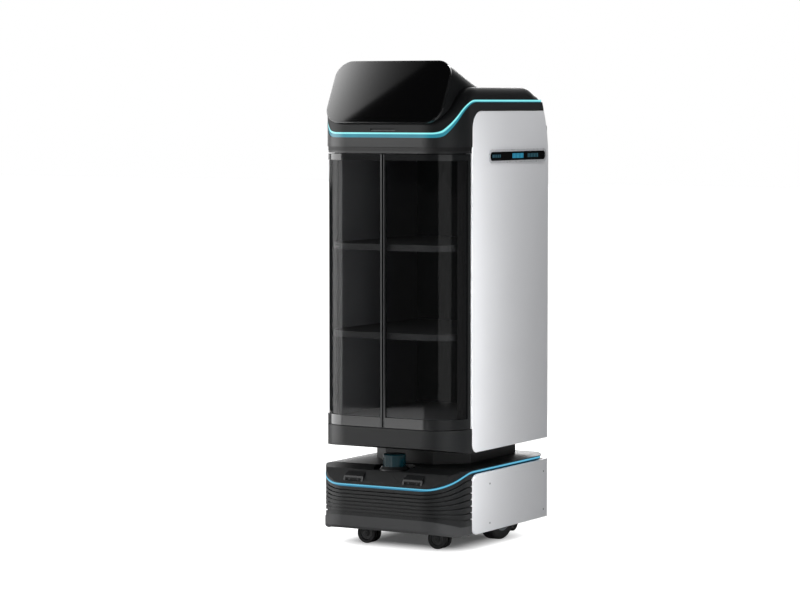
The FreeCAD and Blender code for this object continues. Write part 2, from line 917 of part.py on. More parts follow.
# Half section of a caster wheel (radius, distance from its inner face), dished outside.
def casterWheelProfile():
    bore = size("casterAxleRadius") + size("pinClearance")
    radius = size("casterWheelRadius")
    wide = size("casterWheelWidth")
    edge = size("casterWheelEdge")
    dish = size("casterDishRadius")
    return [(bore, 0), (radius, 0), (radius, wide - edge), (radius - edge, wide), (dish, wide),
            (dish - edge, wide - edge), (bore, wide - edge)]


def makeDriveModule():
    pivotZ = size("driveRadius") + size("armPivotLift")
    eye = size("armEyeRadius")
    thick = size("armThick")
    pin = size("armPinRadius")
    pivotEye = rod("armPivotEye", armX, armY, pivotZ, eye, thick, "x")
    axleEye = rod("armAxleEye", armX, driveY, size("driveRadius"), eye, thick, "x")
    link = sideSolid("armLink", [
        (armY, pivotZ - eye),
        (driveY, size("driveRadius") - eye),
        (driveY, size("driveRadius") + eye),
        (armY, pivotZ + eye),
        ], armX, armX + thick)
    stub = rod("armStub", armX + thick, driveY, size("driveRadius"), size("driveAxleRadius"),
               size("armGap") + size("driveWidth"), "x")
    bore = rod("armBore", armX - overrun, armY, pivotZ, pin + size("pinClearance"),
               thick + overrun * 2, "x")
    right = keep("suspension_arm_right",
                 cut("arm", fuse("armBlank", pivotEye, axleEye, link, stub), bore))
    keep("suspension_arm_left", mirrored("armLeft", right))
    gap = size("armGap")
    wall = size("bracketThick")
    inner = armX - gap - wall
    post = box("bracketPost", inner, armX - gap, armY - eye, armY + eye, plateTop, pivotZ + eye)
    pivot = rod("bracketPin", inner, armY, pivotZ, pin, wall + gap + thick, "x")
    bracket = fuse("bracket", post, pivot)
    keep("arm_brackets", group("brackets", bracket, mirrored("bracketLeft", bracket)))
    makeDriveWheel()


def makeDriveWheel():
    wide = size("driveWidth")
    hub = size("hubRadius")
    bore = size("driveAxleRadius") + size("pinClearance")
    outer = size("driveRadius")
    edge = size("tyreEdge")
    tyre = turnedSolid("tyreTurn", [
        (hub, 0), (outer - edge, 0), (outer, edge), (outer, wide - edge), (outer - edge, wide),
        (hub, wide)])
    dish = size("hubDish")
    motor = turnedSolid("hubTurn", [
        (bore, 0), (hub, 0), (hub, wide), (hub - dish, wide), (hub - dish * 2, wide - dish),
        (bore + dish * 2, wide - dish), (bore + dish, wide), (bore, wide)])
    start = driveX - wide / 2
    for thing in (tyre, motor):
        place(thing, start, driveY, outer, (0, 1, 0), 90)
    keep("drive_tyre_right", tyre)
    keep("drive_hub_right", motor)
    keep("drive_tyre_left", mirrored("tyreLeft", tyre))
    keep("drive_hub_left", mirrored("hubLeft", motor))


def makeInnards():
    pack = half - size("packIn")
    middle = size("packLong") / 2
    keep("battery_pack", box("battery", -pack, pack, driveY - middle, driveY + middle, plateTop,
                             plateTop + size("packTall")))
    board = half - size("boardIn")
    back = armY - size("boardGap")
    keep("drive_controller", box("controller", -board, board, back - size("boardLong"), back,
                                 plateTop, plateTop + size("boardTall")))


# ---- lidar and pedestal ----
def makeLidar():
    y = baseFront + size("lidarBack")
    base = deckShoulder
    foot = size("lidarFootTall")
    body = size("lidarTall") - size("lidarCapTall")
    radius = size("lidarRadius")
    pin = size("lidarPinRadius")
    skin = size("lidarWindowThick")
    dome = turnedSolid("lidarDome", [
        (0, 0),
        (size("lidarFootRadius"), 0),
        (size("lidarFootRadius"), size("lidarFootRim")),
        (radius + skin, foot),
        (pin, foot),
        (pin, foot + body),
        (0, foot + body),
    ])
    keep("lidar_foot", place(dome, 0, y, base))
    tall = size("lidarTall")
    window = turnedSolid("lidarWindow", [
        (0, body),
        (radius - skin, body),
        (radius - skin, 0),
        (radius, 0),
        (radius, tall - skin),
        (radius - skin, tall),
        (0, tall),
    ])
    keep("lidar_window", place(window, 0, y, base + foot))
    gap = size("lidarRotorGap")
    rotor = turnedSolid("lidarRotor", [
        (pin + size("pinClearance"), gap),
        (radius - skin - gap, gap),
        (radius - skin - gap, body - gap),
        (pin + size("pinClearance"), body - gap),
    ])
    keep("lidar_rotor", place(rotor, 0, y, base + foot))


def makePedestal():
    nose = baseFront + size("pedestalBack")
    tail = rear - size("pedestalInset")
    side = half - size("pedestalIn")
    tip = half - size("pedestalNoseIn")
    points = [
        (-tip, nose),
        (tip, nose),
        (side, nose + size("pedestalSlant")),
        (side, tail),
        (-side, tail),
        (-side, nose + size("pedestalSlant")),
    ]
    keep("pedestal", footprintSolid("pedestal", points, deckTop, cabinetBottom))


# ---- cabinet ----
# Side view of a cabinet panel, its rear edge leaning forward near the top.
def panelProfile():
    low = cabinetBottom
    high = panelTop
    return [
        (panelFront, low),
        (rear, low),
        (rear, high - size("panelLeanStart")),
        (rear - size("panelLean"), high),
        (panelFront, high),
    ]


def panelBlank(name):
    bends = [(0, size("panelBottomRadius")), (2, size("panelLeanRadius")),
             (4, size("panelTopRadius"))]
    return sideSolid(name, panelProfile(), innerFace, half, bends)


def makeSidePanels():
    body = panelBlank("sidePanel")
    addFillet(body, edgesInPlane(body.Tip.Shape, 0, half.value), size("panelThick") / 2)
    keep("side_panel_right", body)
    keep("side_panel_left", mirrored("sidePanelLeft", body))


def makeCabinetBase(seats):
    low = cabinetBottom
    top = bumperTop
    block = planSolid("bumperBlock", half, front, rearFace, size("cornerRadius"),
                      size("rearRadius"), low - overrun, top)
    slope = (bumperFront - low) / size("bumperRun")
    points = [
        (front - overrun, bumperFront + slope * overrun),
        (front + size("bumperRun"), low),
        (rear + overrun, low),
        (rear + overrun, top + overrun),
        (front - overrun, top + overrun),
    ]
    profile = sideSolid("bumperProfile", points, -half - overrun, half + overrun)
    keep("cabinet_base", cut("cabinetBase", common("bumperShape", block, profile), seats))


def makeCabinetBox():
    inset = size("innerInset")
    wall = innerFace - size("liningThick")
    back = rear - size("backWall")
    top = doorTop + size("doorGap")
    floor = bumperTop
    keep("cabinet_floor", planSolid("cabinetFloor", wall, front + inset, back,
                                    size("cornerRadius") - (half - wall), size("rearRadius"),
                                    floor, floorTop))
    right = box("cabinetWall", wall, innerFace, panelFront, back, floor, top)
    keep("cabinet_wall_right", right)
    keep("cabinet_wall_left", mirrored("cabinetWallLeft", right))
    makeRearCover(back, floor, top)
    for level, height in (("Low", shelfLow), ("High", shelfHigh)):
        makeShelf(level, height, wall, front + inset, back)
    makeClips(wall, back)


# The rear wall, with the stop button standing in a round recess.
def makeRearCover(back, floor, top):
    wall = box("rearWall", -innerFace, innerFace, back, rearFace, floor, top)
    z = doorTop - size("stopDrop")
    deep = size("stopRecess")
    pocket = rod("stopPocket", 0, rearFace - deep, z, size("stopPocketRadius"), deep + overrun, "y")
    bore = rod("stopBore", 0, back + size("wallThick"), z,
               size("stopStemRadius") + size("pinClearance"), size("backWall"), "y")
    keep("rear_cover", cut("rearCover", wall, group("rearCuts", pocket, bore)))
    cap = size("stopCapTall")
    head = rod("stopHead", 0, rearFace - cap, z, size("stopRadius"), cap, "y")
    start = back + size("wallThick") + size("stopStroke") + size("stopStemReach")
    stem = rod("stopStem", 0, start, z, size("stopStemRadius"), rearFace - cap - start, "y")
    keep("stop_button", fuse("stopButton", head, stem))


# A pressed tray turned upside down: a flat top with a lip all round.
def makeShelf(level, top, wall, nose, back):
    radius = size("cornerRadius") - (half - wall)
    lip = size("shelfLip")
    thick = size("shelfThick")
    sheetEdge = size("shelfEdge")
    blank = planSolid("shelf%s_blank" % level, wall, nose, back, radius, size("rearRadius"),
                      top - lip, top)
    hollow = planSolid("shelf%s_hollow" % level, wall - sheetEdge, nose + sheetEdge,
                       back - sheetEdge, radius - sheetEdge, size("rearRadius") - sheetEdge,
                       top - lip, top - thick)
    keep("shelf_" + level.lower(), cut("shelf" + level, blank, hollow))


def makeClips(wall, back):
    clips = []
    wide = size("clipWide")
    for top in (shelfLow, shelfHigh):
        under = top - size("shelfLip")
        for y in (panelFront + wide, back - size("clipRearIn")):
            right = box("clip", wall - size("clipReach"), wall, y, y + wide,
                        under - size("clipTall"), under)
            clips += [right, mirrored("clipLeft", right)]
    keep("shelf_clips", group("shelfClips", *clips))


# ---- doors ----
hingeX = half - size("doorThick")
hingeY = panelFront - size("hingeRun")


def doorRing(name, outerInset, thick, z0, z1):
    ring = ringSolid(name, outerInset, thick, front, z0, z1)
    quarter = box(name + "_quarter", size("seamHalf"), half + overrun, front - overrun, hingeY,
                  z0 - overrun, z1 + overrun)
    return common(name + "_half", ring, quarter)


def makeDoors():
    low = bumperTop + size("doorGap")
    high = doorTop
    lowRail = low + size("doorBottomRail")
    highRail = high - size("doorTopRail")
    shell = doorRing("doorShell", asDim(0), size("doorThick"), low, high)
    knuckle = rod("knuckle", hingeX, hingeY, low, size("knuckleRadius"), high - low)
    seam = size("seamHalf") + size("stileWide")
    window = box("doorWindow", seam, half + overrun, front - overrun,
                 hingeY - size("hingeStile"), lowRail, highRail)
    frame = cut("doorOpen", shell, window)
    bore = rod("knuckleBore", hingeX, hingeY, low - overrun,
               size("hingePinRadius") + size("pinClearance"), high - low + overrun * 2)
    right = keep("door_frame_right", cut("doorFrame", fuse("doorHung", frame, knuckle), bore))
    keep("door_frame_left", mirrored("doorFrameLeft", right))
    pane = doorRing("pane", size("glassSetback"), size("glassThick"), lowRail, highRail)
    glass = keep("door_glass_right", common("paneCut", pane, window))
    keep("door_glass_left", mirrored("paneLeft", glass))
    makeHingePins(low, high)


# Short pins that stand in the cabinet base and hang from its top, one pair for each door.
def makeHingePins(low, high):
    gap = size("doorGap")
    reach = size("hingePinReach")
    radius = size("hingePinRadius")
    lower = rod("pinLower", hingeX, hingeY, low - gap, radius, gap + reach)
    upper = rod("pinUpper", hingeX, hingeY, high - reach, radius, gap + reach)
    pins = [lower, upper, mirrored("pinLowerLeft", lower), mirrored("pinUpperLeft", upper)]
    keep("door_hinge_pins", group("hingePins", *pins))


# ---- side displays ----
def makeDisplays():
    y0 = panelFront + size("displayBack")
    y1 = rear - size("displayRearIn")
    z1 = panelTop - size("displayDrop")
    z0 = z1 - size("displayTall")
    rim = size("displayRim")
    proud = size("displayProud")
    blank = newBody("displayBlank")
    sketch = newSketch(blank, "YZ_Plane", half)
    drawRounded(sketch, y0, y1, z0, z1, (z1 - z0) / 2.2, (z1 - z0) / 2.2)
    addPad(blank, sketch, proud)
    hole = newBody("displayHole")
    sketch = newSketch(hole, "YZ_Plane", half)
    tall = z1 - z0 - rim * 2
    drawRounded(sketch, y0 + rim, y1 - rim, z0 + rim, z1 - rim, tall / 2.2, tall / 2.2)
    addPad(hole, sketch, proud)
    frame = keep("display_frame_right", cut("displayFrame", blank, hole))
    keep("display_frame_left", mirrored("displayFrameLeft", frame))
    glass = newBody("displayGlass")
    sketch = newSketch(glass, "YZ_Plane", half)
    drawRounded(sketch, y0 + rim, y1 - rim, z0 + rim, z1 - rim, tall / 2.2, tall / 2.2)
    addPad(glass, sketch, proud / 2)
    keep("display_glass_right", glass)
    keep("display_glass_left", mirrored("displayGlassLeft", glass))


# ---- collar, halo light and head ----
def haloBand(name, low, high):
    points = low + high[::-1]
    last = len(points) - 1
    bends = [(1, size("haloLowRadius")), (2, size("haloHighRadius")),
             (last - 1, size("haloLowRadius")), (last - 2, size("haloHighRadius"))]
    return sideSolid(name, points, -half - overrun, half + overrun, bends)


def haloLow(end):
    return haloEdge(haloFront, haloSide, size("haloLowLag"), end)


def haloHigh(end):
    return haloEdge(haloFront + size("haloTall"), haloSide + size("haloSideTall"),
                    -size("haloHighLead"), end)


def makeCollar(seats):
    low = doorTop + size("doorGap")
    block = planSolid("collarBlock", half, front, rearFace, size("cornerRadius"),
                      size("rearRadius"), low, roofTop)
    lean = size("panelLean")
    start = panelTop - size("panelLeanStart")
    top = haloLow(rear - size("collarTail"))
    points = top + [
        (rear - lean - size("rearRecess"), panelTop),
        (rearFace, start),
        (rearFace, low - overrun),
        (front - overrun, low - overrun),
    ]
    profile = sideSolid("collarProfile", points, -half - overrun, half + overrun,
                        [(1, size("haloLowRadius")), (2, size("haloHighRadius"))])
    wall = size("collarWall")
    hollow = planSolid("collarHollow", innerFace - wall, front + wall,
                       rear - size("collarTail") - wall, size("cornerRadius") - wall,
                       size("rearRadius"), low + size("shellWall"), roofTop)
    lip = ringSolid("collarLip", -size("overrun"), overrun + size("collarLipDepth"), front,
                    low - overrun, collarLipTop)
    lipFront = common("collarLipFront", lip,
                      box("collarLipBox", -half - overrun * 2, half + overrun * 2,
                          front - overrun * 2, panelFront, low - overrun, roofTop))
    cuts = group("collarCuts", hollow, lipFront)
    shape = cut("collarSeated", common("collarShape", block, profile), seats)
    keep("cabinet_collar", cut("collar", shape, cuts))


def makeHalo():
    wall = ringSolid("haloWall", size("haloInset"), size("haloThick"), front,
                     haloFront - overrun, roofTop)
    end = rear - size("haloTail")
    keep("halo_light", common("halo", wall, haloBand("haloBand", haloLow(end), haloHigh(end))))


# Edges where an upright wall meets a surface that looks up (1) or down (-1).
def wallEdges(shape, way):
    found = []
    for index, edge in enumerate(shape.Edges, start=1):
        upright = False
        level = False
        for face in shape.ancestorsOfType(edge, Part.Face):
            middle = edge.valueAt((edge.FirstParameter + edge.LastParameter) / 2)
            u, v = face.Surface.parameter(middle)
            outward = face.normalAt(u, v)
            upright = upright or abs(outward.z) < 0.05 and outward.y < 0.95
            level = level or outward.z * way > 0.3
        if upright and level:
            found.append("Edge%d" % index)
    return found


# The shell above the halo light: a shoulder that follows the light, then the roof.
def makeCrown():
    end = rear - size("crownTail")
    lift = size("crownRise")
    body = planSolid("crown", half, front, end, size("cornerRadius"), size("crownRearRadius"),
                     haloFront, roofTop + overrun)
    low = haloHigh(end + overrun)
    start = haloFront + size("haloTall") + lift
    step = haloSide + size("haloSideTall") + size("crownStep")
    roof = roofTop
    points = low + [
        (end + overrun, step),
        (end, step),
        (end - size("roofRearDrop"), roof),
        (front + size("haloRise") + size("crownLag"), roof),
        (front + size("haloStart"), start),
        (front - overrun, start),
    ]
    bends = [(1, size("haloLowRadius")), (2, size("haloHighRadius")),
             (6, size("roofRearRadius")), (7, size("haloHighRadius")),
             (8, size("haloLowRadius"))]
    profile = sideSolid("crownProfile", points, -half - overrun, half + overrun, bends)
    blend = body.newObject("PartDesign::Boolean", "crownBoolean")
    blend.Type = "Common"
    blend.setObjects([profile])
    doc.recompute()
    addFillet(body, wallEdges(body.Tip.Shape, 1), size("crownEdgeRadius"))
    return body


# A rounded rectangle on a plane tilted back with the screen, set behind it by a depth.
def screenSketch(body, inset, depth):
    sketch = newSketch(body, "XZ_Plane")
    tilt = size("screenTilt")
    sketch.AttachmentOffset = FreeCAD.Placement(
        FreeCAD.Vector(0, 0, 0), FreeCAD.Rotation(FreeCAD.Vector(1, 0, 0), -tilt.value))
    sketch.setExpression("AttachmentOffset.Rotation.Angle", "-" + tilt.text)
    leanSin = Dim(math.sin(math.radians(tilt.value)), "sin(%s * 1 deg)" % tilt.text)
    leanCos = Dim(math.cos(math.radians(tilt.value)), "cos(%s * 1 deg)" % tilt.text)
    forward = -(baseFront + size("screenBack"))
    bind(sketch, "AttachmentOffset.Base.y", screenMiddle - depth * leanSin)
    bind(sketch, "AttachmentOffset.Base.z", forward - depth * leanCos)
    wide = screenHalf - inset
    tall = size("screenTall") / 2 - inset
    radius = size("screenRadius") - inset
    drawRounded(sketch, -wide, wide, -tall, tall, radius, radius)
    return sketch


def makeScreen():
    bezel = newBody("bezel")
    thick = size("bezelThick")
    addPad(bezel, screenSketch(bezel, asDim(0), thick), thick)
    pocket = newBody("bezelPocket")
    plate = size("glassPlate")
    rim = size("bezelRim")
    addPad(pocket, screenSketch(pocket, rim, plate), plate + overrun)
    keep("screen_bezel", cut("screenBezel", bezel, pocket))
    glass = newBody("screenGlass")
    addPad(glass, screenSketch(glass, rim, plate), plate)
    keep("screen_glass", glass)


# The hood behind the screen: its top runs back square to the screen, its sides flare out.
def makeHood():
    tilt = math.radians(size("screenTilt").value)
    angle = size("screenTilt").text + " * 1 deg"
    leanSin = Dim(math.sin(tilt), "sin(%s)" % angle)
    leanCos = Dim(math.cos(tilt), "cos(%s)" % angle)
    depth = size("bezelThick")
    tall = size("screenTall") / 2
    middleY = baseFront + size("screenBack") + depth * leanCos
    middleZ = screenMiddle - depth * leanSin
    footY = middleY - tall * leanSin
    footZ = middleZ - tall * leanCos
    browY = middleY + tall * leanSin
    browZ = middleZ + tall * leanCos
    run = size("hoodRun")
    slopeRun = (browZ - roofTop) * leanCos / leanSin
    back = browY + slopeRun + size("hoodLevel")
    body = sideSolid("hood", [
        (footY, footZ),
        (back, footZ),
        (back, roofTop),
        (browY + slopeRun, roofTop),
        (browY, browZ),
    ], -half, half, [(3, size("hoodBlendRadius"))])
    plan = newBody("hoodPlan")
    sketch = newSketch(plan, "XY_Plane")
    sketch.AttachmentOffset = FreeCAD.Placement(
        FreeCAD.Vector(0, 0, 0), FreeCAD.Rotation(FreeCAD.Vector(1, 0, 0), -size("screenTilt").value))
    sketch.setExpression("AttachmentOffset.Rotation.Angle", "-" + size("screenTilt").text)
    bind(sketch, "AttachmentOffset.Base.y", middleY - (tall + overrun) * leanSin)
    bind(sketch, "AttachmentOffset.Base.z", middleZ - (tall + overrun) * leanCos)
    flare = screenHalf + size("hoodFlare")
    drawLoop(sketch, [(-screenHalf, 0), (screenHalf, 0), (flare, run), (-flare, run)])
    addPad(plan, sketch, (tall + overrun) * 2)
    blend = body.newObject("PartDesign::Boolean", "hoodBoolean")
    blend.Type = "Common"
    blend.setObjects([plan])
    doc.recompute()
    starts = [(footY.value, footZ.value), (browY.value, browZ.value)]
    addFillet(body, runningEdges(body.Tip.Shape, starts), size("screenRadius"))
    return cut("hoodTrimmed", body, underHalo())


# Everything below the halo light's upper edge.
def underHalo():
    points = haloHigh(rear) + [(rear, doorTop), (front - overrun, doorTop)]
    return sideSolid("underHalo", points, -half - overrun, half + overrun,
                     [(1, size("haloLowRadius")), (2, size("haloHighRadius"))])


# Straight edges that start at one of the given (y, z) spots and run back along the robot.
def runningEdges(shape, starts):
    found = []
    for index, edge in enumerate(shape.Edges, start=1):
        if not isinstance(edge.Curve, Part.Line):
            continue
        a, b = sorted((v.Point for v in edge.Vertexes[:2]), key=lambda point: point.y)
        if b.z > a.z + 0.1 or b.y - a.y < size("hoodLevel").value:
            continue
        if any(math.hypot(a.y - y, a.z - z) < 0.1 for y, z in starts):
            found.append("Edge%d" % index)
    return found


def makeHead():
    crown = makeCrown()
    hood = makeHood()
    wall = size("collarWall")
    end = rear - size("crownTail")
    room = planSolid("headRoom", half - wall, front + wall, end - wall,
                     size("cornerRadius") - wall, size("crownRearRadius") - wall,
                     haloFront - overrun, roofTop)
    low = haloFront - overrun
    ceiling = roofTop - size("shellWall") * 2
    points = [
        (front - overrun, low),
        (end, low),
        (end - size("roofRearDrop") - overrun, ceiling),
        (front + size("haloRise") + size("crownLag") + overrun, ceiling),
        (front + size("haloStart"), haloFront + size("haloTall") + size("shellWall")),
        (front - overrun, haloFront + size("haloTall") + size("shellWall")),
    ]
    profile = sideSolid("headRoomProfile", points, -half, half)
    slotLow = haloFront + size("chinSlotLift")
    slot = box("chinSlot", -size("chinSlotHalf"), size("chinSlotHalf"), front - overrun,
               front + size("chinSlotDeep"), slotLow, slotLow + size("chinSlotTall"))
    hollow = group("headCuts", common("headHollow", room, profile), slot)
    keep("head_shell", cut("head", fuse("headBlank", crown, hood), hollow))


makeRim()
makeSkirt()
makeBaseStrip()
makeDeck()
makeBasePanels()
makeBaseWalls()
makeChassisPlate()
for spot, (x, y, angle) in casterSpots.items():
    makeCaster(spot, x, y, angle)
makeDriveModule()
makeInnards()
makeLidar()
makePedestal()
makeSidePanels()
seatRight = panelBlank("panelSeat")
seats = group("panelSeats", seatRight, mirrored("panelSeatLeft", seatRight))
makeCabinetBase(seats)
makeCabinetBox()
makeDoors()
makeDisplays()
makeCollar(seats)
makeHalo()
makeHead()
makeScreen()

doc.recompute()
for thing in doc.Objects:
    if "Invalid" in thing.State or "Error" in thing.State:
        raise RuntimeError("%s did not build" % thing.Label)
os.makedirs("parts", exist_ok=True)
for name, thing in nodes.items():
    shape = thing.Shape
    if shape.isNull() or not shape.isValid():
        raise RuntimeError("%s has no valid shape" % name)
    shape.exportStep("parts/%s.step" % name)
    print(name, len(shape.Solids), round(shape.Volume / 1000, 1))
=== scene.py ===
import bmesh
import bpy
import math
from mathutils import Matrix, Vector
from mathutils.bvhtree import BVHTree


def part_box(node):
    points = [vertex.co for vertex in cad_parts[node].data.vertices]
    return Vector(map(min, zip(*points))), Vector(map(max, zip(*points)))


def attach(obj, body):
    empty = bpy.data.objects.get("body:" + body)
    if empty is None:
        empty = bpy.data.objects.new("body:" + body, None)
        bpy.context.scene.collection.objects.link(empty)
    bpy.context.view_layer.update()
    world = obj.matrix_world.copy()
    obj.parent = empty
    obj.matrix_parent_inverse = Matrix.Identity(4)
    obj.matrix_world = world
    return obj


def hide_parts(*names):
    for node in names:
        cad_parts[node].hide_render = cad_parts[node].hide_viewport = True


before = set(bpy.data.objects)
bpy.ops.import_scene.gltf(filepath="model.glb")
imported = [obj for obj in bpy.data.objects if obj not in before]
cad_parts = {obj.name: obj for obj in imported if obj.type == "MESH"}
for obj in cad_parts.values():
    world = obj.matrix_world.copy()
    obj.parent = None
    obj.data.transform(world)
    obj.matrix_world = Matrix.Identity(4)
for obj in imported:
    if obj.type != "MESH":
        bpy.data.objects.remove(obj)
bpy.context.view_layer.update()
print("frame loaded:", len(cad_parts), "nodes")


# sRGB hex text to the linear colour that shaders expect
def linear(hexText):
    channels = [int(hexText[i:i + 2], 16) / 255 for i in (0, 2, 4)]
    return tuple(c / 12.92 if c <= 0.04045 else ((c + 0.055) / 1.055) ** 2.4 for c in channels) + (1.0,)


# adds a node: lower-case names are its settings, other names and numbers are its inputs
def addNode(tree, kind, settings=None, links=None):
    node = tree.nodes.new(kind)
    for name, value in (settings or {}).items():
        if isinstance(name, str) and name[0].islower():
            setattr(node, name, value)
        else:
            node.inputs[name].default_value = value
    for name, source in (links or {}).items():
        tree.links.new(source, node.inputs[name])
    return node


# a material with its output, a Principled shader and the object's own coordinates
def startMaterial(name, settings):
    material = bpy.data.materials.new(name)
    material.use_nodes = True
    tree = material.node_tree
    tree.nodes.clear()
    surface = addNode(tree, "ShaderNodeBsdfPrincipled", settings)
    addNode(tree, "ShaderNodeOutputMaterial", None, {"Surface": surface.outputs[0]})
    place = addNode(tree, "ShaderNodeTexCoord").outputs["Object"]
    return material, tree, surface, place


# moulded or sprayed skins: soft colour drift, uneven gloss and a fine grain of real size in millimetres
def skin(name, tone, deepTone, roughness, spread, grainMm, grainDepthMm, extra=None):
    settings = {"Roughness": roughness}
    settings.update(extra or {})
    material, tree, surface, place = startMaterial(name, settings)
    drift = addNode(tree, "ShaderNodeTexNoise", {"Scale": 9.0, "Detail": 3.0}, {"Vector": place})
    blend = addNode(tree, "ShaderNodeMix", {"data_type": "RGBA", 6: linear(deepTone), 7: linear(tone)},
                    {0: drift.outputs["Fac"]})
    tree.links.new(blend.outputs[2], surface.inputs["Base Color"])
    grain = addNode(tree, "ShaderNodeTexNoise", {"Scale": 1000 / grainMm, "Detail": 2.0}, {"Vector": place})
    gloss = addNode(tree, "ShaderNodeMapRange", {"To Min": roughness - spread, "To Max": roughness + spread},
                    {"Value": grain.outputs["Fac"]})
    tree.links.new(gloss.outputs[0], surface.inputs["Roughness"])
    relief = addNode(tree, "ShaderNodeBump", {"Strength": 0.6, "Distance": grainDepthMm / 1000},
                     {"Height": grain.outputs["Fac"]})
    tree.links.new(relief.outputs[0], surface.inputs["Normal"])
    return material


# charcoal ABS from a spark-eroded mould: satin, with a grain drawn at 3 mm so that it shows
mouldedAbs = skin("charcoalMouldedAbs", "191a1b", "151617", 0.4, 0.04, 3.0, 0.03)
# the head is a darker copy of the charcoal ABS: painted shade, so that the chin under the screen reads as
# shaded; it is also dull
headAbsPaintedShade = skin("darkMouldedAbsPaintedShade", "151617", "111213", 0.5, 0.04, 3.0, 0.03, {"Specular IOR Level": 0.25})
# the deck is as dark, a darker copy of the charcoal ABS: painted shade for the deck under the cabinet; it has
# a little more sheen on its front slope
deckAbsPaintedShade = skin("darkDeckAbsPaintedShade", "151617", "111213", 0.5, 0.04, 3.0, 0.03, {"Specular IOR Level": 0.4})
# the same plastic in the bumper rim, a tone lighter and less glossy: the lighter tone is painted sheen for
# the light its bulging front catches
rimAbsPaintedSheen = skin("greyMouldedAbsPaintedSheen", "404142", "383839", 0.45, 0.04, 3.0, 0.03)
# the plinth under the cabinet and the collar above it: smooth satin ABS
smoothAbs = skin("smoothSatinAbs", "191a1b", "151617", 0.4, 0.03, 5.0, 0.008)
# piano black acrylic-capped ABS of the door rails and screen surround
pianoBlack = skin("pianoBlackAcrylic", "141516", "101112", 0.16, 0.02, 8.0, 0.0008,
                  {"Coat Weight": 0.4, "Coat Roughness": 0.08})
# white sprayed ABS of the side panels: satin, faint orange peel 4 mm across
whitePaint = skin("whiteSprayedAbs", "ecedf0", "e8e9ec", 0.42, 0.03, 4.0, 0.015,
                  {"Coat Weight": 0.2, "Coat Roughness": 0.3})
# silver-plated plastic trim around the side displays
silverTrim = skin("satinSilverTrim", "e4e5e8", "d4d6da", 0.28, 0.04, 2.0, 0.01, {"Metallic": 0.35})
# moulded ABS lining of the cabinet, and its powder-coated shelves
liningAbs = skin("greyLiningAbs", "929396", "87888b", 0.5, 0.05, 3.0, 0.03)
powderCoat = skin("greyPowderCoatedSteel", "3a3b3d", "333436", 0.5, 0.05, 3.0, 0.04)
# zinc-plated steel of the chassis, arms and pins
zincSteel = skin("zincPlatedSteel", "9b9ea2", "84878b", 0.38, 0.1, 6.0, 0.03, {"Metallic": 1.0})
# black powder-coated sheet behind the base's panels
blackSheet = skin("blackPowderCoatedSteel", "161617", "121213", 0.5, 0.05, 3.0, 0.04)
# polyurethane tread on the casters and drive wheels
wheelRubber = skin("blackPolyurethane", "1b1b1c", "151516", 0.6, 0.06, 3.0, 0.08)
# cast aluminium hubs and the lidar's rotor
castAluminium = skin("castAluminium", "8f9296", "76797d", 0.42, 0.08, 3.0, 0.06, {"Metallic": 1.0})
# brass contact strips, lacquered
contactBrass = skin("lacqueredBrass", "c9a45c", "b18d48", 0.25, 0.06, 4.0, 0.02, {"Metallic": 1.0})
# red acetal mushroom cap of the stop button
stopRed = skin("redAcetal", "b3160f", "96110b", 0.3, 0.04, 4.0, 0.02, {"Coat Weight": 0.3})
# shrink-wrapped cell case, seen only with the covers off
cellCase = skin("blueBlackShrinkWrap", "1d2430", "171d27", 0.5, 0.05, 5.0, 0.05)


# polished glass and polycarbonate: no grain, only a very slow drift of tone
def glassSkin(name, tone, deepTone, roughness, extra):
    settings = {"Roughness": roughness}
    settings.update(extra)
    material, tree, surface, place = startMaterial(name, settings)
    drift = addNode(tree, "ShaderNodeTexNoise", {"Scale": 4.0, "Detail": 1.0}, {"Vector": place})
    blend = addNode(tree, "ShaderNodeMix", {"data_type": "RGBA", 6: linear(deepTone), 7: linear(tone)},
                    {0: drift.outputs["Fac"]})
    tree.links.new(blend.outputs[2], surface.inputs["Base Color"])
    return material


# float glass over the dark screen and the side displays
screenGlass = glassSkin("blackScreenGlass", "050506", "040405", 0.05, {"IOR": 1.52})
# smoked tempered glass of the doors: the dark tint hides most of what stands behind it
smokedGlass = glassSkin("smokedTemperedGlass", "0c0d0e", "0a0b0b", 0.03, {"Alpha": 0.26, "IOR": 1.52})
# infrared-pass polycarbonate of the lidar window: deep teal and very glossy
lidarTint = glassSkin("infraredPassPolycarbonate", "0c363f", "092a31", 0.07, {"IOR": 1.5})
# matt black polycarbonate over the deck's sensor lenses
podPane = glassSkin("mattBlackPolycarbonate", "0c0c0d", "09090a", 0.4, {"Specular IOR Level": 0.25})


# opal diffusers over a row of lamps, a little brighter over each lamp
def diffuser(name, tone, deepTone, strength, pitchMm):
    material, tree, surface, place = startMaterial(name, {"Roughness": 0.3, "Emission Strength": strength,
                                                          "Base Color": linear("0a1214")})
    drift = addNode(tree, "ShaderNodeTexNoise", {"Scale": 1000 / pitchMm, "Detail": 1.0}, {"Vector": place})
    blend = addNode(tree, "ShaderNodeMix", {"data_type": "RGBA", 6: linear(deepTone), 7: linear(tone)},
                    {0: drift.outputs["Fac"]})
    tree.links.new(blend.outputs[2], surface.inputs["Emission Color"])
    return material


# the halo is teal where its light only spills, and bright cyan along its lens
tealDiffuser = diffuser("tealOpalPolycarbonate", "238a9e", "2a7a8c", 1.0, 60)
cyanLens = diffuser("cyanLightLens", "98f2f4", "7fe6ea", 1.05, 60)
blueDiffuser = diffuser("blueOpalPolycarbonate", "2383a8", "1f769a", 1.0, 60)
blueLens = diffuser("blueLightLens", "6cc0dc", "57b2d2", 1.0, 60)
# moulded black rubber of the door gaskets; the same black is painted shade in the strip over the groove above
# the doors and in the speaker holes
sealRubberAndPaintedShade = skin("blackSealRubberAndPaintedShade", "0e0e0f", "0b0b0c", 0.6, 0.05, 3.0, 0.03)
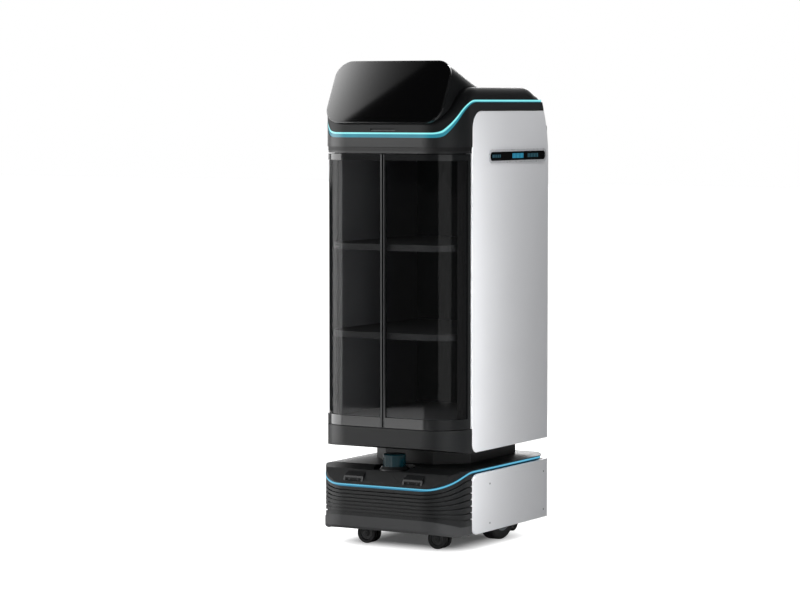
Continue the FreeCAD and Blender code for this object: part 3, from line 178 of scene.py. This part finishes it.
# grey satin acrylic of the stop ring and the slot insert; on the doors' meeting edges its grey is a painted
# highlight of the chamfered glossy stile edges
greyTrimAndEdgeHighlight = skin("greySatinAcrylicAndEdgeHighlight", "4a4b4c", "434445", 0.3, 0.03, 4.0, 0.01)
# glass-filled nylon of the wheel hubs
hubNylon = skin("greyNylonHub", "2e2f30", "28292a", 0.45, 0.05, 3.0, 0.03)
# stainless steel button-head screws
screwSteel = skin("stainlessSteel", "a9abae", "96989b", 0.3, 0.05, 2.0, 0.01, {"Metallic": 1.0})


nodeFinish = {
    "base_rim": rimAbsPaintedSheen, "base_skirt": mouldedAbs, "base_light_strip": blueDiffuser, "base_deck": deckAbsPaintedShade,
    "base_panel_right": whitePaint, "base_panel_left": whitePaint, "panel_screws": zincSteel,
    "base_wall_right": blackSheet, "base_wall_left": blackSheet, "base_rear_cover": mouldedAbs,
    "power_button": pianoBlack, "charging_contacts": contactBrass, "chassis_plate": zincSteel,
    "arm_brackets": zincSteel, "battery_pack": cellCase, "drive_controller": cellCase,
    "lidar_foot": smoothAbs, "lidar_window": lidarTint, "lidar_rotor": castAluminium,
    "pedestal": mouldedAbs, "side_panel_right": whitePaint, "side_panel_left": whitePaint,
    "cabinet_base": smoothAbs, "cabinet_floor": liningAbs, "cabinet_wall_right": liningAbs,
    "cabinet_wall_left": liningAbs, "rear_cover": mouldedAbs, "stop_button": stopRed,
    "shelf_low": powderCoat, "shelf_high": powderCoat, "shelf_clips": zincSteel,
    "door_hinge_pins": zincSteel, "cabinet_collar": smoothAbs, "halo_light": tealDiffuser,
    "head_shell": headAbsPaintedShade, "screen_bezel": pianoBlack, "screen_glass": screenGlass,
}
for side in ("right", "left"):
    nodeFinish["door_frame_" + side] = pianoBlack
    nodeFinish["door_glass_" + side] = smokedGlass
    nodeFinish["display_frame_" + side] = silverTrim
    nodeFinish["display_glass_" + side] = screenGlass
    nodeFinish["suspension_arm_" + side] = zincSteel
    nodeFinish["drive_tyre_" + side] = wheelRubber
    nodeFinish["drive_hub_" + side] = castAluminium
    for end in ("front", "rear"):
        nodeFinish["caster_fork_%s_%s" % (end, side)] = smoothAbs
        nodeFinish["caster_wheels_%s_%s" % (end, side)] = wheelRubber
for name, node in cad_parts.items():
    for slot in node.material_slots:
        slot.link = "OBJECT"
        slot.material = nodeFinish[name]
print("finishes on the CAD nodes")


# turns a bmesh into an object at the origin that rides on a body
def finishPiece(name, mesh, finish, body, outward=True):
    bmesh.ops.remove_doubles(mesh, verts=mesh.verts, dist=1e-6)
    if outward:
        bmesh.ops.recalc_face_normals(mesh, faces=mesh.faces)
    data = bpy.data.meshes.new(name)
    mesh.to_mesh(data)
    mesh.free()
    data.materials.append(finish)
    piece = bpy.data.objects.new(name, data)
    bpy.context.collection.objects.link(piece)
    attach(piece, body)
    return piece


# a box between two corners with its edges rounded
def roundedBlock(mesh, low, high, radius, segments=3):
    made = bmesh.ops.create_cube(mesh, size=1.0)
    middle = [(a + b) / 2 for a, b in zip(low, high)]
    spread = [b - a for a, b in zip(low, high)]
    bmesh.ops.scale(mesh, vec=spread, verts=made["verts"])
    bmesh.ops.translate(mesh, vec=middle, verts=made["verts"])
    edges = {edge for vert in made["verts"] for edge in vert.link_edges}
    if radius:
        bmesh.ops.bevel(mesh, geom=list(edges), offset=radius, segments=segments, affect="EDGES",
                        profile=0.5, material=-1)


# turns an outline of (radius, along) pairs about an axis through a point
def turn(mesh, outline, centre, axis, steps=48):
    axis = Vector(axis)
    across = axis.orthogonal().normalized()
    corners = [mesh.verts.new(Vector(centre) + across * radius + axis * along) for radius, along in outline]
    edges = [mesh.edges.new(pair) for pair in zip(corners, corners[1:] + corners[:1])]
    bmesh.ops.spin(mesh, geom=corners + edges, cent=centre, axis=axis, angle=math.tau, steps=steps,
                   use_merge=True)


# a round stud standing on a spot and pointing out along a direction, wider at its foot
def addStud(mesh, middle, out, footRadius, topRadius, tall, segments):
    made = bmesh.ops.create_cone(mesh, cap_ends=True, segments=segments, radius1=footRadius,
                                 radius2=topRadius, depth=tall)
    turned = out.to_track_quat("Z", "Y").to_matrix().to_4x4()
    bmesh.ops.transform(mesh, matrix=Matrix.Translation(middle) @ turned, verts=made["verts"])
    return made["verts"]


# gives the lowest and highest point of a CAD node at any distance from the front
def bandHeights(name):
    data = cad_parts[name].data
    runs = [[data.vertices[corner].co.copy() for corner in edge.vertices] for edge in data.edges]
    low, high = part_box(name)
    margin = 0.004

    def heights(y):
        y = min(max(y, low.y + margin), high.y - margin)
        found = []
        for start, end in runs:
            if (start.y - y) * (end.y - y) < 0:
                found.append(start.z + (end.z - start.z) * (y - start.y) / (end.y - start.y))
        return min(found), max(found)
    return heights


# a thin strip wrapped on the rounded front of the body, between two heights that change with y
def wrapStrip(mesh, plan, cuts, levels):
    made = bmesh.ops.create_cube(mesh, size=1.0)
    deep = plan["rear"] - plan["front"]
    bmesh.ops.scale(mesh, vec=(plan["half"] * 2, deep, 1), verts=made["verts"])
    bmesh.ops.translate(mesh, vec=(0, plan["front"] + deep / 2, 0.5), verts=made["verts"])
    openSides = [face for face in mesh.faces if abs(face.normal.z) > 0.5 or face.normal.y > 0.5]
    bmesh.ops.delete(mesh, geom=openSides, context="FACES")
    uprights = [edge for edge in mesh.edges
                if all(abs(vert.co.y - plan["front"]) < 1e-6 for vert in edge.verts)
                and abs(edge.verts[0].co.z - edge.verts[1].co.z) > 0.5]
    bmesh.ops.bevel(mesh, geom=uprights, offset=plan["corner"], segments=28, affect="EDGES", profile=0.5,
                    material=-1)
    for y in cuts:
        bmesh.ops.bisect_plane(mesh, geom=mesh.verts[:] + mesh.edges[:] + mesh.faces[:], dist=1e-7,
                               plane_co=(0, y, 0), plane_no=(0, 1, 0))
    for vert in mesh.verts:
        low, high = levels(vert.co.y)
        vert.co.z = low if vert.co.z < 0.5 else high
    bmesh.ops.recalc_face_normals(mesh, faces=mesh.faces)
    bmesh.ops.solidify(mesh, geom=mesh.faces[:], thickness=plan["thick"])


# bright lens lines along the upper part of the halo and of the base's strip
lensLines = {
    "cutEvery": 0.004, "cuts": 59, "slopeStep": 0.002,
    "pieces": {
        "halo_line": {"node": "halo_light", "half": 0.2045, "front": -0.2540, "rear": 0.227,
                      "corner": 0.0905, "thick": 0.0008, "fromTop": 0.0004, "tall": 0.0042,
                      "finish": cyanLens, "slot": "cyan_light"},
        "strip_line": {"node": "base_light_strip", "half": 0.2059, "front": -0.2664, "rear": 0.225,
                       "corner": 0.0914, "thick": 0.0007, "fromTop": 0.0008, "tall": 0.0030,
                       "finish": blueLens, "slot": "blue_light"},
    },
}


# keeps a line evenly wide, measured square to the slope of the band that it follows
def lensLevels(plan):
    heights = bandHeights(plan["node"])
    step = lensLines["slopeStep"]

    def levels(y):
        top = heights(y)[1]
        slope = (heights(y + step)[1] - heights(y - step)[1]) / (2 * step)
        lean = math.sqrt(1 + slope * slope)
        return top - (plan["fromTop"] + plan["tall"]) * lean, top - plan["fromTop"] * lean
    return levels


for name, plan in lensLines["pieces"].items():
    mesh = bmesh.new()
    cuts = [plan["front"] + lensLines["cutEvery"] * step for step in range(1, lensLines["cuts"] + 1)]
    wrapStrip(mesh, plan, cuts, lensLevels(plan))
    finishPiece(name, mesh, plan["finish"], "chassis")

# dark rubber strip over the lip above the doors, up into the step where the collar meets it: painted shade
# for the shadow gap between the two mouldings and the recessed lip
collarShadeStrip = {"half": 0.2029, "front": -0.2524, "rear": -0.1525, "corner": 0.0885, "thick": 0.0018,
              "low": 1.0275, "high": 1.0396}
mesh = bmesh.new()
wrapStrip(mesh, collarShadeStrip, [], lambda y: (collarShadeStrip["low"], collarShadeStrip["high"]))
finishPiece("collar_shade_strip", mesh, sealRubberAndPaintedShade, "chassis")
print("lens lines and collar shade strip")

# side displays: rows of plain lit bars behind the glass, brightest in the middle
displayBars = {
    "middleZ": 1.0128,
    "thick": 0.0003,
    "barWide": 0.0052,
    "groups": [(-0.046, 5, 0.0095, 0.008, "dim"), (0.063, 8, 0.0078, 0.0125, "bright"),
               (0.148, 7, 0.0088, 0.010, "dim")],
}
litBright = diffuser("litDisplayBright", "2f93b4", "237f9f", 1.0, 10)
litDim = diffuser("litDisplayDim", "245461", "1b3f4a", 1.0, 10)
for side, sign in (("right", 1), ("left", -1)):
    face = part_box("display_glass_" + side)[1 if sign > 0 else 0].x
    inside, outside = sorted((face, face + sign * displayBars["thick"]))
    for tone, finish in (("bright", litBright), ("dim", litDim)):
        mesh = bmesh.new()
        for start, count, pitch, tall, kind in displayBars["groups"]:
            for step in range(count if kind == tone else 0):
                y = start + step * pitch
                roundedBlock(mesh, (inside, y, displayBars["middleZ"] - tall / 2),
                             (outside, y + displayBars["barWide"], displayBars["middleZ"] + tall / 2), 0)
        finishPiece("display_bars_%s_%s" % (tone, side), mesh, finish, "chassis")
print("display bars")

# black band fired into the rear edge of each curved door glass, full height of the pane
glassBand = {"half": 0.2010, "radius": 0.0889, "thick": 0.0005, "degrees": 26.0, "steps": 10, "inset": 0.001}
for side, sign in (("right", 1), ("left", -1)):
    low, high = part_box("door_glass_" + side)
    edge = high.x if sign > 0 else low.x
    inner = glassBand["radius"]
    outer = inner + glassBand["thick"]
    bottom, top = low.z + glassBand["inset"], high.z - glassBand["inset"]
    centre = Vector(((glassBand["half"] - inner) * sign, low.y + inner, 0))
    lean = math.acos(min(1.0, abs(edge - centre.x) / inner))
    rearEdge = Vector((sign * math.cos(lean), -math.sin(lean), 0))
    mesh = bmesh.new()
    corners = [mesh.verts.new(centre + rearEdge * span + Vector((0, 0, z)))
               for span, z in ((inner, bottom), (outer, bottom), (outer, top), (inner, top))]
    edges = [mesh.edges.new(pair) for pair in zip(corners, corners[1:] + corners[:1])]
    bmesh.ops.spin(mesh, geom=corners + edges, cent=centre, axis=(0, 0, -sign),
                   angle=math.radians(glassBand["degrees"]), steps=glassBand["steps"])
    bmesh.ops.holes_fill(mesh, edges=[edge for edge in mesh.edges if edge.is_boundary], sides=4)
    finishPiece("glass_band_" + side, mesh, sealRubberAndPaintedShade, "door_" + side)
print("glass bands")

# grey strips where the two doors meet, full height between the rails: painted highlight of the chamfered
# glossy edges of the stiles
meeting = {"left": (-0.0068, -0.0024), "right": (0.0024, 0.0046), "proud": 0.0004, "sunk": 0.001,
           "endGap": 0.001, "radius": 0.0002}
for side in ("left", "right"):
    low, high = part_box("door_frame_" + side)
    left, right = meeting[side]
    mesh = bmesh.new()
    roundedBlock(mesh, (left, low.y - meeting["proud"], low.z + meeting["endGap"]),
                 (right, low.y + meeting["sunk"], high.z - meeting["endGap"]), meeting["radius"], 2)
    finishPiece("door_edge_highlight_" + side, mesh, greyTrimAndEdgeHighlight, "door_" + side)
print("door edge highlights")

# twin caster wheels: a polyurethane tyre on a dished nylon hub each side of the fork
caster = {
    "wide": 0.014, "steps": 56,
    "tyre": [(0.0195, 0.0004), (0.0242, 0.0002), (0.0258, 0.0008), (0.0267, 0.002), (0.027, 0.0038),
             (0.027, 0.0102), (0.0267, 0.012), (0.0258, 0.0132), (0.0242, 0.0138), (0.0195, 0.0136)],
    "hubOutline": [(0.0031, 0.0002), (0.0193, 0.0002), (0.0193, 0.0132), (0.0182, 0.0136), (0.0172, 0.0128),
                   (0.0160, 0.0112), (0.0090, 0.0108), (0.0078, 0.0124), (0.0068, 0.0130), (0.0031, 0.0130)],
}
for end, axis in (("front", (0, 1, 0)), ("rear", (1, 0, 0))):
    for side in ("right", "left"):
        name = "caster_wheels_%s_%s" % (end, side)
        low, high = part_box(name)
        middle = (low + high) / 2
        along = Vector(axis)
        reach = abs((high - low).dot(along)) / 2
        for part, outline, finish, slotName in (("treads", caster["tyre"], wheelRubber, "wheel_rubber"),
                                                ("hubs", caster["hubOutline"], hubNylon, "black_plastic")):
            mesh = bmesh.new()
            for way in (1, -1):
                inner = middle + along * way * (reach - caster["wide"])
                turn(mesh, outline, inner, along * way, caster["steps"])
            piece = finishPiece("caster_%s_%s_%s" % (part, end, side), mesh, finish, name)
            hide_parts(name)

# drive tyres with three rain grooves and a rounded shoulder
driveTyre = {
    "steps": 72,
    "outline": [(0.0521, 0.0002), (0.0690, 0.0002), (0.0725, 0.0014), (0.0742, 0.0036), (0.0750, 0.0064),
                (0.0750, 0.0095), (0.0732, 0.0100), (0.0732, 0.0116), (0.0750, 0.0121), (0.0750, 0.0177),
                (0.0732, 0.0182), (0.0732, 0.0198), (0.0750, 0.0203), (0.0750, 0.0259), (0.0732, 0.0264),
                (0.0732, 0.0280), (0.0750, 0.0285), (0.0750, 0.0316), (0.0742, 0.0344), (0.0725, 0.0366),
                (0.0690, 0.0378), (0.0521, 0.0378)],
}
for side, sign in (("right", 1), ("left", -1)):
    low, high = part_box("drive_tyre_" + side)
    middle = (low + high) / 2
    start = Vector((low.x if sign > 0 else high.x, middle.y, middle.z))
    mesh = bmesh.new()
    turn(mesh, driveTyre["outline"], start, (sign, 0, 0), driveTyre["steps"])
    piece = finishPiece("drive_tread_" + side, mesh, wheelRubber, "drive_wheel_" + side)
    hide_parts("drive_tyre_" + side)
print("wheels")

# button-head screws with a round socket, on the base's side panels
screw = {"radius": 0.0030, "topShare": 0.72, "socket": 0.0013, "proud": 0.0008, "sunk": 0.0006,
         "deep": 0.0008, "segments": 24, "cadRadius": 0.004}


def addScrew(mesh, place, out):
    out = Vector(out)
    topRadius = screw["radius"] * screw["topShare"]
    middle = Vector(place) + out * (screw["proud"] - screw["sunk"]) / 2
    verts = addStud(mesh, middle, out, screw["radius"], topRadius, screw["proud"] + screw["sunk"],
                    screw["segments"])
    tops = [face for face in {face for vert in verts for face in vert.link_faces}
            if len(face.verts) > 4 and (face.calc_center_median() - middle).dot(out) > 0]
    bmesh.ops.inset_region(mesh, faces=tops, thickness=topRadius - screw["socket"])
    pressed = bmesh.ops.extrude_face_region(mesh, geom=tops)
    bottom = [item for item in pressed["geom"] if isinstance(item, bmesh.types.BMVert)]
    bmesh.ops.translate(mesh, vec=out * -screw["deep"], verts=bottom)
    bmesh.ops.delete(mesh, geom=tops, context="FACES")


low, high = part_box("panel_screws")
mesh = bmesh.new()
for sign in (1, -1):
    for y in (low.y + screw["cadRadius"], high.y - screw["cadRadius"]):
        for z in (low.z + screw["cadRadius"], high.z - screw["cadRadius"]):
            addScrew(mesh, (sign * (high.x - screw["proud"]), y, z), (sign, 0, 0))
piece = finishPiece("socket_screws", mesh, screwSteel, "chassis")
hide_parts("panel_screws")
print("screws")

# sensor lenses behind a dark window in each pod of the deck
pod = {"x": 0.088, "halfWide": 0.0228, "low": 0.1766, "high": 0.1840, "back": -0.2484, "face": -0.2548,
       "rounding": 0.001, "eyes": (-0.0125, 0.0125), "eyeSteps": 20,
       "eyeOutline": [(0.0, 0.0002), (0.0012, 0.0003), (0.0018, 0.0001), (0.0020, 0.0006), (0.0026, 0.0006),
                      (0.0026, -0.0006), (0.0, -0.0006)]}
for side, sign in (("right", 1), ("left", -1)):
    mesh = bmesh.new()
    roundedBlock(mesh, (sign * pod["x"] - pod["halfWide"], pod["face"], pod["low"]),
                 (sign * pod["x"] + pod["halfWide"], pod["back"], pod["high"]), pod["rounding"])
    finishPiece("pod_window_" + side, mesh, podPane, "chassis")
    mesh = bmesh.new()
    for eye in pod["eyes"]:
        centre = (sign * pod["x"] + eye, pod["face"], (pod["low"] + pod["high"]) / 2)
        turn(mesh, pod["eyeOutline"], centre, (0, -1, 0), pod["eyeSteps"])
    finishPiece("pod_eyes_" + side, mesh, hubNylon, "chassis")
print("sensor pods")


# a CAD node's surface, ready to be searched along a line
def searchable(name):
    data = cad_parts[name].data
    return BVHTree.FromPolygons([vert.co.copy() for vert in data.vertices],
                                [list(face.vertices) for face in data.polygons])


# raised bare plate between the pods, wider at its foot
deckPlate = {"foot": (-0.051, 0.057, -0.2590), "head": (-0.046, 0.022, -0.2400), "above": 0.3,
             "sunk": 0.0004, "thick": 0.0010, "rounding": 0.0005}
deck = searchable("base_deck")
landings = []
for left, right, y in (deckPlate["foot"], deckPlate["head"]):
    for x in (left, right):
        landings.append(deck.ray_cast(Vector((x, y, deckPlate["above"])), Vector((0, 0, -1)))[:2])
mesh = bmesh.new()
corners = [mesh.verts.new(landings[index][0]) for index in (0, 1, 3, 2)]
plate = mesh.faces.new(corners)
bmesh.ops.recalc_face_normals(mesh, faces=[plate])
out = landings[0][1]
bmesh.ops.translate(mesh, vec=out * -deckPlate["sunk"], verts=corners)
grown = bmesh.ops.extrude_face_region(mesh, geom=[plate])
topCorners = [item for item in grown["geom"] if isinstance(item, bmesh.types.BMVert)]
bmesh.ops.translate(mesh, vec=out * deckPlate["thick"], verts=topCorners)
bmesh.ops.bevel(mesh, geom=mesh.edges[:], offset=deckPlate["rounding"], segments=3, affect="EDGES",
                profile=0.5, material=-1)
finishPiece("deck_plate", mesh, deckAbsPaintedShade, "chassis")

# grey insert on the floor of the slot under the screen
chinInsert = {"half": 0.0362, "front": -0.2540, "back": -0.2508, "low": 1.0783, "high": 1.0812,
              "rounding": 0.0006}
mesh = bmesh.new()
roundedBlock(mesh, (-chinInsert["half"], chinInsert["front"], chinInsert["low"]),
             (chinInsert["half"], chinInsert["back"], chinInsert["high"]), chinInsert["rounding"])
finishPiece("chin_slot_insert", mesh, greyTrimAndEdgeHighlight, "chassis")
print("deck plate and slot insert")

# speaker holes in both sides of the head, drawn as dark round plugs that barely stand out: their dark is
# painted shade for the inside of the holes
speaker = {"rows": 7, "columns": 4, "pitch": 0.0034, "radius": 0.0009, "topShare": 0.8, "tall": 0.0004,
           "segments": 10, "y": -0.196, "z": 1.158, "beside": 0.3, "flatEnough": 0.9}
headSide = searchable("head_shell")
for side, sign in (("right", 1), ("left", -1)):
    mesh = bmesh.new()
    for row in range(speaker["rows"]):
        for column in range(speaker["columns"]):
            y = speaker["y"] + (column + 0.5 * (row % 2)) * speaker["pitch"]
            z = speaker["z"] + row * speaker["pitch"]
            spot, out = headSide.ray_cast(Vector((sign * speaker["beside"], y, z)), Vector((-sign, 0, 0)))[:2]
            if spot is None or out.x * sign < speaker["flatEnough"]:
                continue
            addStud(mesh, spot, out, speaker["radius"], speaker["radius"] * speaker["topShare"],
                    speaker["tall"], speaker["segments"])
    finishPiece("speaker_holes_" + side, mesh, sealRubberAndPaintedShade, "chassis")
print("speaker holes")

# rear fittings: rings round the stop and power buttons, frame round the contacts, ribbed vent
rings = {
    "stop_ring": {"button": "stop_button", "cover": "rear_cover", "steps": 48, "finish": greyTrimAndEdgeHighlight,
                  "slot": "black_plastic",
                  "outline": [(0.0243, -0.0004), (0.0272, -0.0004), (0.0272, 0.0006), (0.0266, 0.0010),
                              (0.0250, 0.0010), (0.0243, 0.0006)]},
    "power_ring": {"button": "power_button", "cover": "base_rear_cover", "steps": 40, "finish": blueDiffuser,
                   "slot": "blue_light",
                   "outline": [(0.0098, -0.0004), (0.0122, -0.0004), (0.0122, 0.0004), (0.0118, 0.0008),
                               (0.0102, 0.0008), (0.0098, 0.0004)]},
}
for name, ring in rings.items():
    low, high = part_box(ring["button"])
    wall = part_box(ring["cover"])[1].y
    mesh = bmesh.new()
    turn(mesh, ring["outline"], (0, wall, (low.z + high.z) / 2), (0, 1, 0), ring["steps"])
    finishPiece(name, mesh, ring["finish"], "chassis")

contactFrame = {"half": 0.036, "low": 0.086, "high": 0.127, "wall": 0.004, "proud": 0.0008, "sunk": 0.0004,
                "rounding": 0.0005}
half, thick = contactFrame["half"], contactFrame["wall"]
bottom, top = contactFrame["low"], contactFrame["high"]
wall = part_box("base_rear_cover")[1].y
mesh = bmesh.new()
for left, right, foot, head in ((-half, half, bottom, bottom + thick), (-half, half, top - thick, top),
                                (-half, thick - half, bottom, top), (half - thick, half, bottom, top)):
    roundedBlock(mesh, (left, wall - contactFrame["sunk"], foot), (right, wall + contactFrame["proud"], head),
                 contactFrame["rounding"], 2)
finishPiece("contact_frame", mesh, sealRubberAndPaintedShade, "chassis")

vent = {"half": 0.09, "low": 0.40, "pitch": 0.008, "count": 12, "tall": 0.003, "proud": 0.0010,
        "sunk": 0.0004, "rounding": 0.0006}
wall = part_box("rear_cover")[1].y
mesh = bmesh.new()
for step in range(vent["count"]):
    z = vent["low"] + step * vent["pitch"]
    roundedBlock(mesh, (-vent["half"], wall - vent["sunk"], z),
                 (vent["half"], wall + vent["proud"], z + vent["tall"]), vent["rounding"], 2)
finishPiece("rear_vent_ribs", mesh, mouldedAbs, "chassis")

rearScrews = {"x": (-0.18, 0.18), "z": (0.34, 0.56, 0.78, 1.0)}
mesh = bmesh.new()
for x in rearScrews["x"]:
    for z in rearScrews["z"]:
        addScrew(mesh, (x, wall, z), (0, 1, 0))
finishPiece("rear_screws", mesh, screwSteel, "chassis")
print("rear fittings")

# floor, world, lamps and camera
studio = {
    "floorHalf": 30.0,
    "floorTone": "e6e6e6",
    "footprint": (0.1, 0.092, 0.0),
    "glowNear": 0.06,
    "glowFar": 1.0,
    "glowStart": 0.0,
    "glowEnd": 0.15,
    "worldLevel": 0.13,
    "mirrorDark": 0.03,
    "mirrorPale": 1.9,
    "mirrorWay": (-0.5, 0.86, 0.1),
    "mirrorEdge": (0.6, 0.95),
}
mesh = bmesh.new()
bmesh.ops.create_grid(mesh, x_segments=1, y_segments=1, size=studio["floorHalf"])
data = bpy.data.meshes.new("studioFloor")
mesh.to_mesh(data)
mesh.free()
floor = bpy.data.objects.new("studioFloor", data)
bpy.context.collection.objects.link(floor)
material, tree, surface, place = startMaterial(
    "paleStudioFloor", {"Base Color": linear(studio["floorTone"]), "Roughness": 0.9,
                        "Emission Color": (1, 1, 1, 1)})
# the floor glows pure white outside a narrow zone round the robot; inside the zone the glow fades out, which
# keeps its real shadow and also darkens the whole zone: painted shade round the robot's footprint
folded = addNode(tree, "ShaderNodeVectorMath", {"operation": "ABSOLUTE"}, {0: place})
outside = addNode(tree, "ShaderNodeVectorMath", {"operation": "SUBTRACT", 1: studio["footprint"]},
                  {0: folded.outputs[0]})
clipped = addNode(tree, "ShaderNodeVectorMath", {"operation": "MAXIMUM", 1: (0, 0, 0)},
                  {0: outside.outputs[0]})
away = addNode(tree, "ShaderNodeVectorMath", {"operation": "LENGTH"}, {0: clipped.outputs[0]})
fade = addNode(tree, "ShaderNodeMapRange", {"interpolation_type": "SMOOTHSTEP",
                                            "From Min": studio["glowStart"], "From Max": studio["glowEnd"],
                                            "To Min": studio["glowNear"], "To Max": studio["glowFar"]},
               {"Value": away.outputs["Value"]})
ray = addNode(tree, "ShaderNodeLightPath")
seen = addNode(tree, "ShaderNodeMath", {"operation": "MAXIMUM"},
               {0: ray.outputs["Is Camera Ray"], 1: ray.outputs["Is Transmission Ray"]})
glow = addNode(tree, "ShaderNodeMath", {"operation": "MULTIPLY"}, {0: seen.outputs[0], 1: fade.outputs[0]})
tree.links.new(glow.outputs[0], surface.inputs["Emission Strength"])
data.materials.append(material)

# the world is white to the eye and through glass; polished surfaces see a dark studio with
# one pale patch low behind the robot
world = bpy.data.worlds.new("softStudio")
bpy.context.scene.world = world
world.use_nodes = True
tree = world.node_tree
tree.nodes.clear()
ray = addNode(tree, "ShaderNodeLightPath")
direct = addNode(tree, "ShaderNodeMath", {"operation": "MAXIMUM"},
                 {0: ray.outputs["Is Camera Ray"], 1: ray.outputs["Is Transmission Ray"]})
heading = addNode(tree, "ShaderNodeVectorMath", {"operation": "DOT_PRODUCT", 1: studio["mirrorWay"]},
                  {0: addNode(tree, "ShaderNodeTexCoord").outputs["Generated"]})
mirror = addNode(tree, "ShaderNodeMapRange",
                 {"interpolation_type": "SMOOTHSTEP",
                  "From Min": studio["mirrorEdge"][0], "From Max": studio["mirrorEdge"][1],
                  "To Min": studio["mirrorDark"], "To Max": studio["mirrorPale"]},
                 {"Value": heading.outputs["Value"]})
level = addNode(tree, "ShaderNodeMix", {2: studio["worldLevel"]},
                {0: ray.outputs["Is Glossy Ray"], 3: mirror.outputs[0]})
strength = addNode(tree, "ShaderNodeMix", {3: 1.0}, {0: direct.outputs[0], 2: level.outputs[0]})
backdrop = addNode(tree, "ShaderNodeBackground", {"Color": (1, 1, 1, 1)}, {"Strength": strength.outputs[0]})
addNode(tree, "ShaderNodeOutputWorld", None, {"Surface": backdrop.outputs[0]})


# a soft area lamp that points at a spot; "spread" is never mirrored, and "mirror" is seen only in reflections
def softLamp(name, place, target, wide, tall, watts, kind="both"):
    lamp = bpy.data.lights.new(name, "AREA")
    lamp.shape = "RECTANGLE"
    lamp.size = wide
    lamp.size_y = tall
    lamp.energy = watts
    holder = bpy.data.objects.new(name, lamp)
    holder.location = place
    holder.rotation_euler = (Vector(target) - Vector(place)).to_track_quat("-Z", "Y").to_euler()
    holder.visible_camera = False
    holder.visible_glossy = kind != "spread"
    holder.visible_diffuse = kind != "mirror"
    holder.visible_transmission = False
    bpy.context.collection.objects.link(holder)
    return holder


# the panel key stands close, so that the white sides shade off towards the back
softLamp("panelKey", (0.43, -0.34, 0.60), (0.205, -0.08, 0.60), 0.1, 1.1, 2.75, "spread")
softLamp("frontSheen", (-1.41, -2.68, 1.8), (0, -0.2, 0.7), 1.7, 0.9, 38)
softLamp("topRight", (0.55, 0.3, 1.8), (0.2, 0.15, 0.9), 0.3, 0.5, 4.5, "spread")
softLamp("rearSheen", (-1.2, 2.8, 1.7), (0, 0, 1.1), 0.9, 0.9, 30)
softLamp("leftCard", (-2.27, -1.03, 1.0), (0, -0.25, 0.9), 2.24, 2.6, 70, "mirror")
softLamp("rightCard", (1.98, -1.8, 0.56), (0, -0.25, 0.56), 2.0, 0.86, 4.4, "mirror")
softLamp("frontLow", (-1.05, -1.95, 0.09), (0, -0.25, 0.15), 0.9, 0.14, 0.85, "mirror")
softLamp("lowStrip", (-0.06, -1.45, 0.10), (0, -0.2, 0.23), 0.05, 0.14, 0.08, "mirror")

# a graded card that only polished surfaces see; the screen mirrors its slanted edge
screenCard = {
    "place": (-0.6332, -0.8969, 2.0736),
    "across": (0.8635, -0.3008, 0.4050),
    "facing": (0.5044, 0.5125, -0.6949),
    "left": -0.27, "right": 0.22, "top": -0.15, "bottom": 0.12,
    "edgeSpot": (-0.0200, -0.0150, 0.0),
    "edgeOut": (0.572, 0.8204, 0.0),
    "level": 5.6, "most": 14.0,
    "fall": (16.1, 6.5), "from": (-0.165, -0.015),
}
facing = Vector(screenCard["facing"]).normalized()
across = Vector(screenCard["across"]).normalized()
upright = facing.cross(across)
mesh = bmesh.new()
bmesh.ops.create_grid(mesh, x_segments=1, y_segments=1, size=0.5)
left, right, top, bottom = (screenCard[side] for side in ("left", "right", "top", "bottom"))
bmesh.ops.scale(mesh, vec=(right - left, bottom - top, 1), verts=mesh.verts)
bmesh.ops.translate(mesh, vec=((right + left) / 2, (bottom + top) / 2, 0), verts=mesh.verts)
bmesh.ops.bisect_plane(mesh, geom=mesh.verts[:] + mesh.edges[:] + mesh.faces[:], dist=1e-7,
                       plane_co=screenCard["edgeSpot"], plane_no=screenCard["edgeOut"], clear_outer=True)
data = bpy.data.meshes.new("screenCard")
mesh.to_mesh(data)
mesh.free()
card = bpy.data.objects.new("screenCard", data)
turned = Matrix((across, upright, facing)).transposed().to_4x4()
card.matrix_world = Matrix.Translation(screenCard["place"]) @ turned
bpy.context.collection.objects.link(card)
card.visible_camera = False
card.visible_diffuse = False
card.visible_transmission = False
card.visible_shadow = False
material, tree, surface, place = startMaterial(
    "gradedCard", {"Base Color": (0, 0, 0, 1), "Roughness": 1.0, "Specular IOR Level": 0.0,
                   "Emission Color": (1, 1, 1, 1)})
moved = addNode(tree, "ShaderNodeVectorMath", {"operation": "SUBTRACT", 1: screenCard["from"] + (0.0,)},
                {0: place})
slide = addNode(tree, "ShaderNodeVectorMath", {"operation": "DOT_PRODUCT", 1: screenCard["fall"] + (0.0,)},
                {0: moved.outputs[0]})
decay = addNode(tree, "ShaderNodeMath", {"operation": "POWER", 0: 1 / math.e}, {1: slide.outputs["Value"]})
scaled = addNode(tree, "ShaderNodeMath", {"operation": "MULTIPLY", 1: screenCard["level"]},
                 {0: decay.outputs[0]})
capped = addNode(tree, "ShaderNodeMath", {"operation": "MINIMUM", 1: screenCard["most"]},
                 {0: scaled.outputs[0]})
tree.links.new(capped.outputs[0], surface.inputs["Emission Strength"])
data.materials.append(material)

# a long lens, far back, a little above the middle and tipped slightly down
viewer = {"place": (3.7842, -6.6696, 1.149), "down": 3.8546, "turned": 30.1955, "lens": 131.336,
          "sensor": 36.0}
camera = bpy.data.cameras.new("viewer")
camera.lens = viewer["lens"]
camera.sensor_width = viewer["sensor"]
holder = bpy.data.objects.new("viewer", camera)
holder.location = viewer["place"]
holder.rotation_euler = (math.radians(90 - viewer["down"]), 0, math.radians(viewer["turned"]))
bpy.context.collection.objects.link(holder)
bpy.context.scene.camera = holder
bpy.context.scene.view_settings.view_transform = "Standard"
print("studio ready")
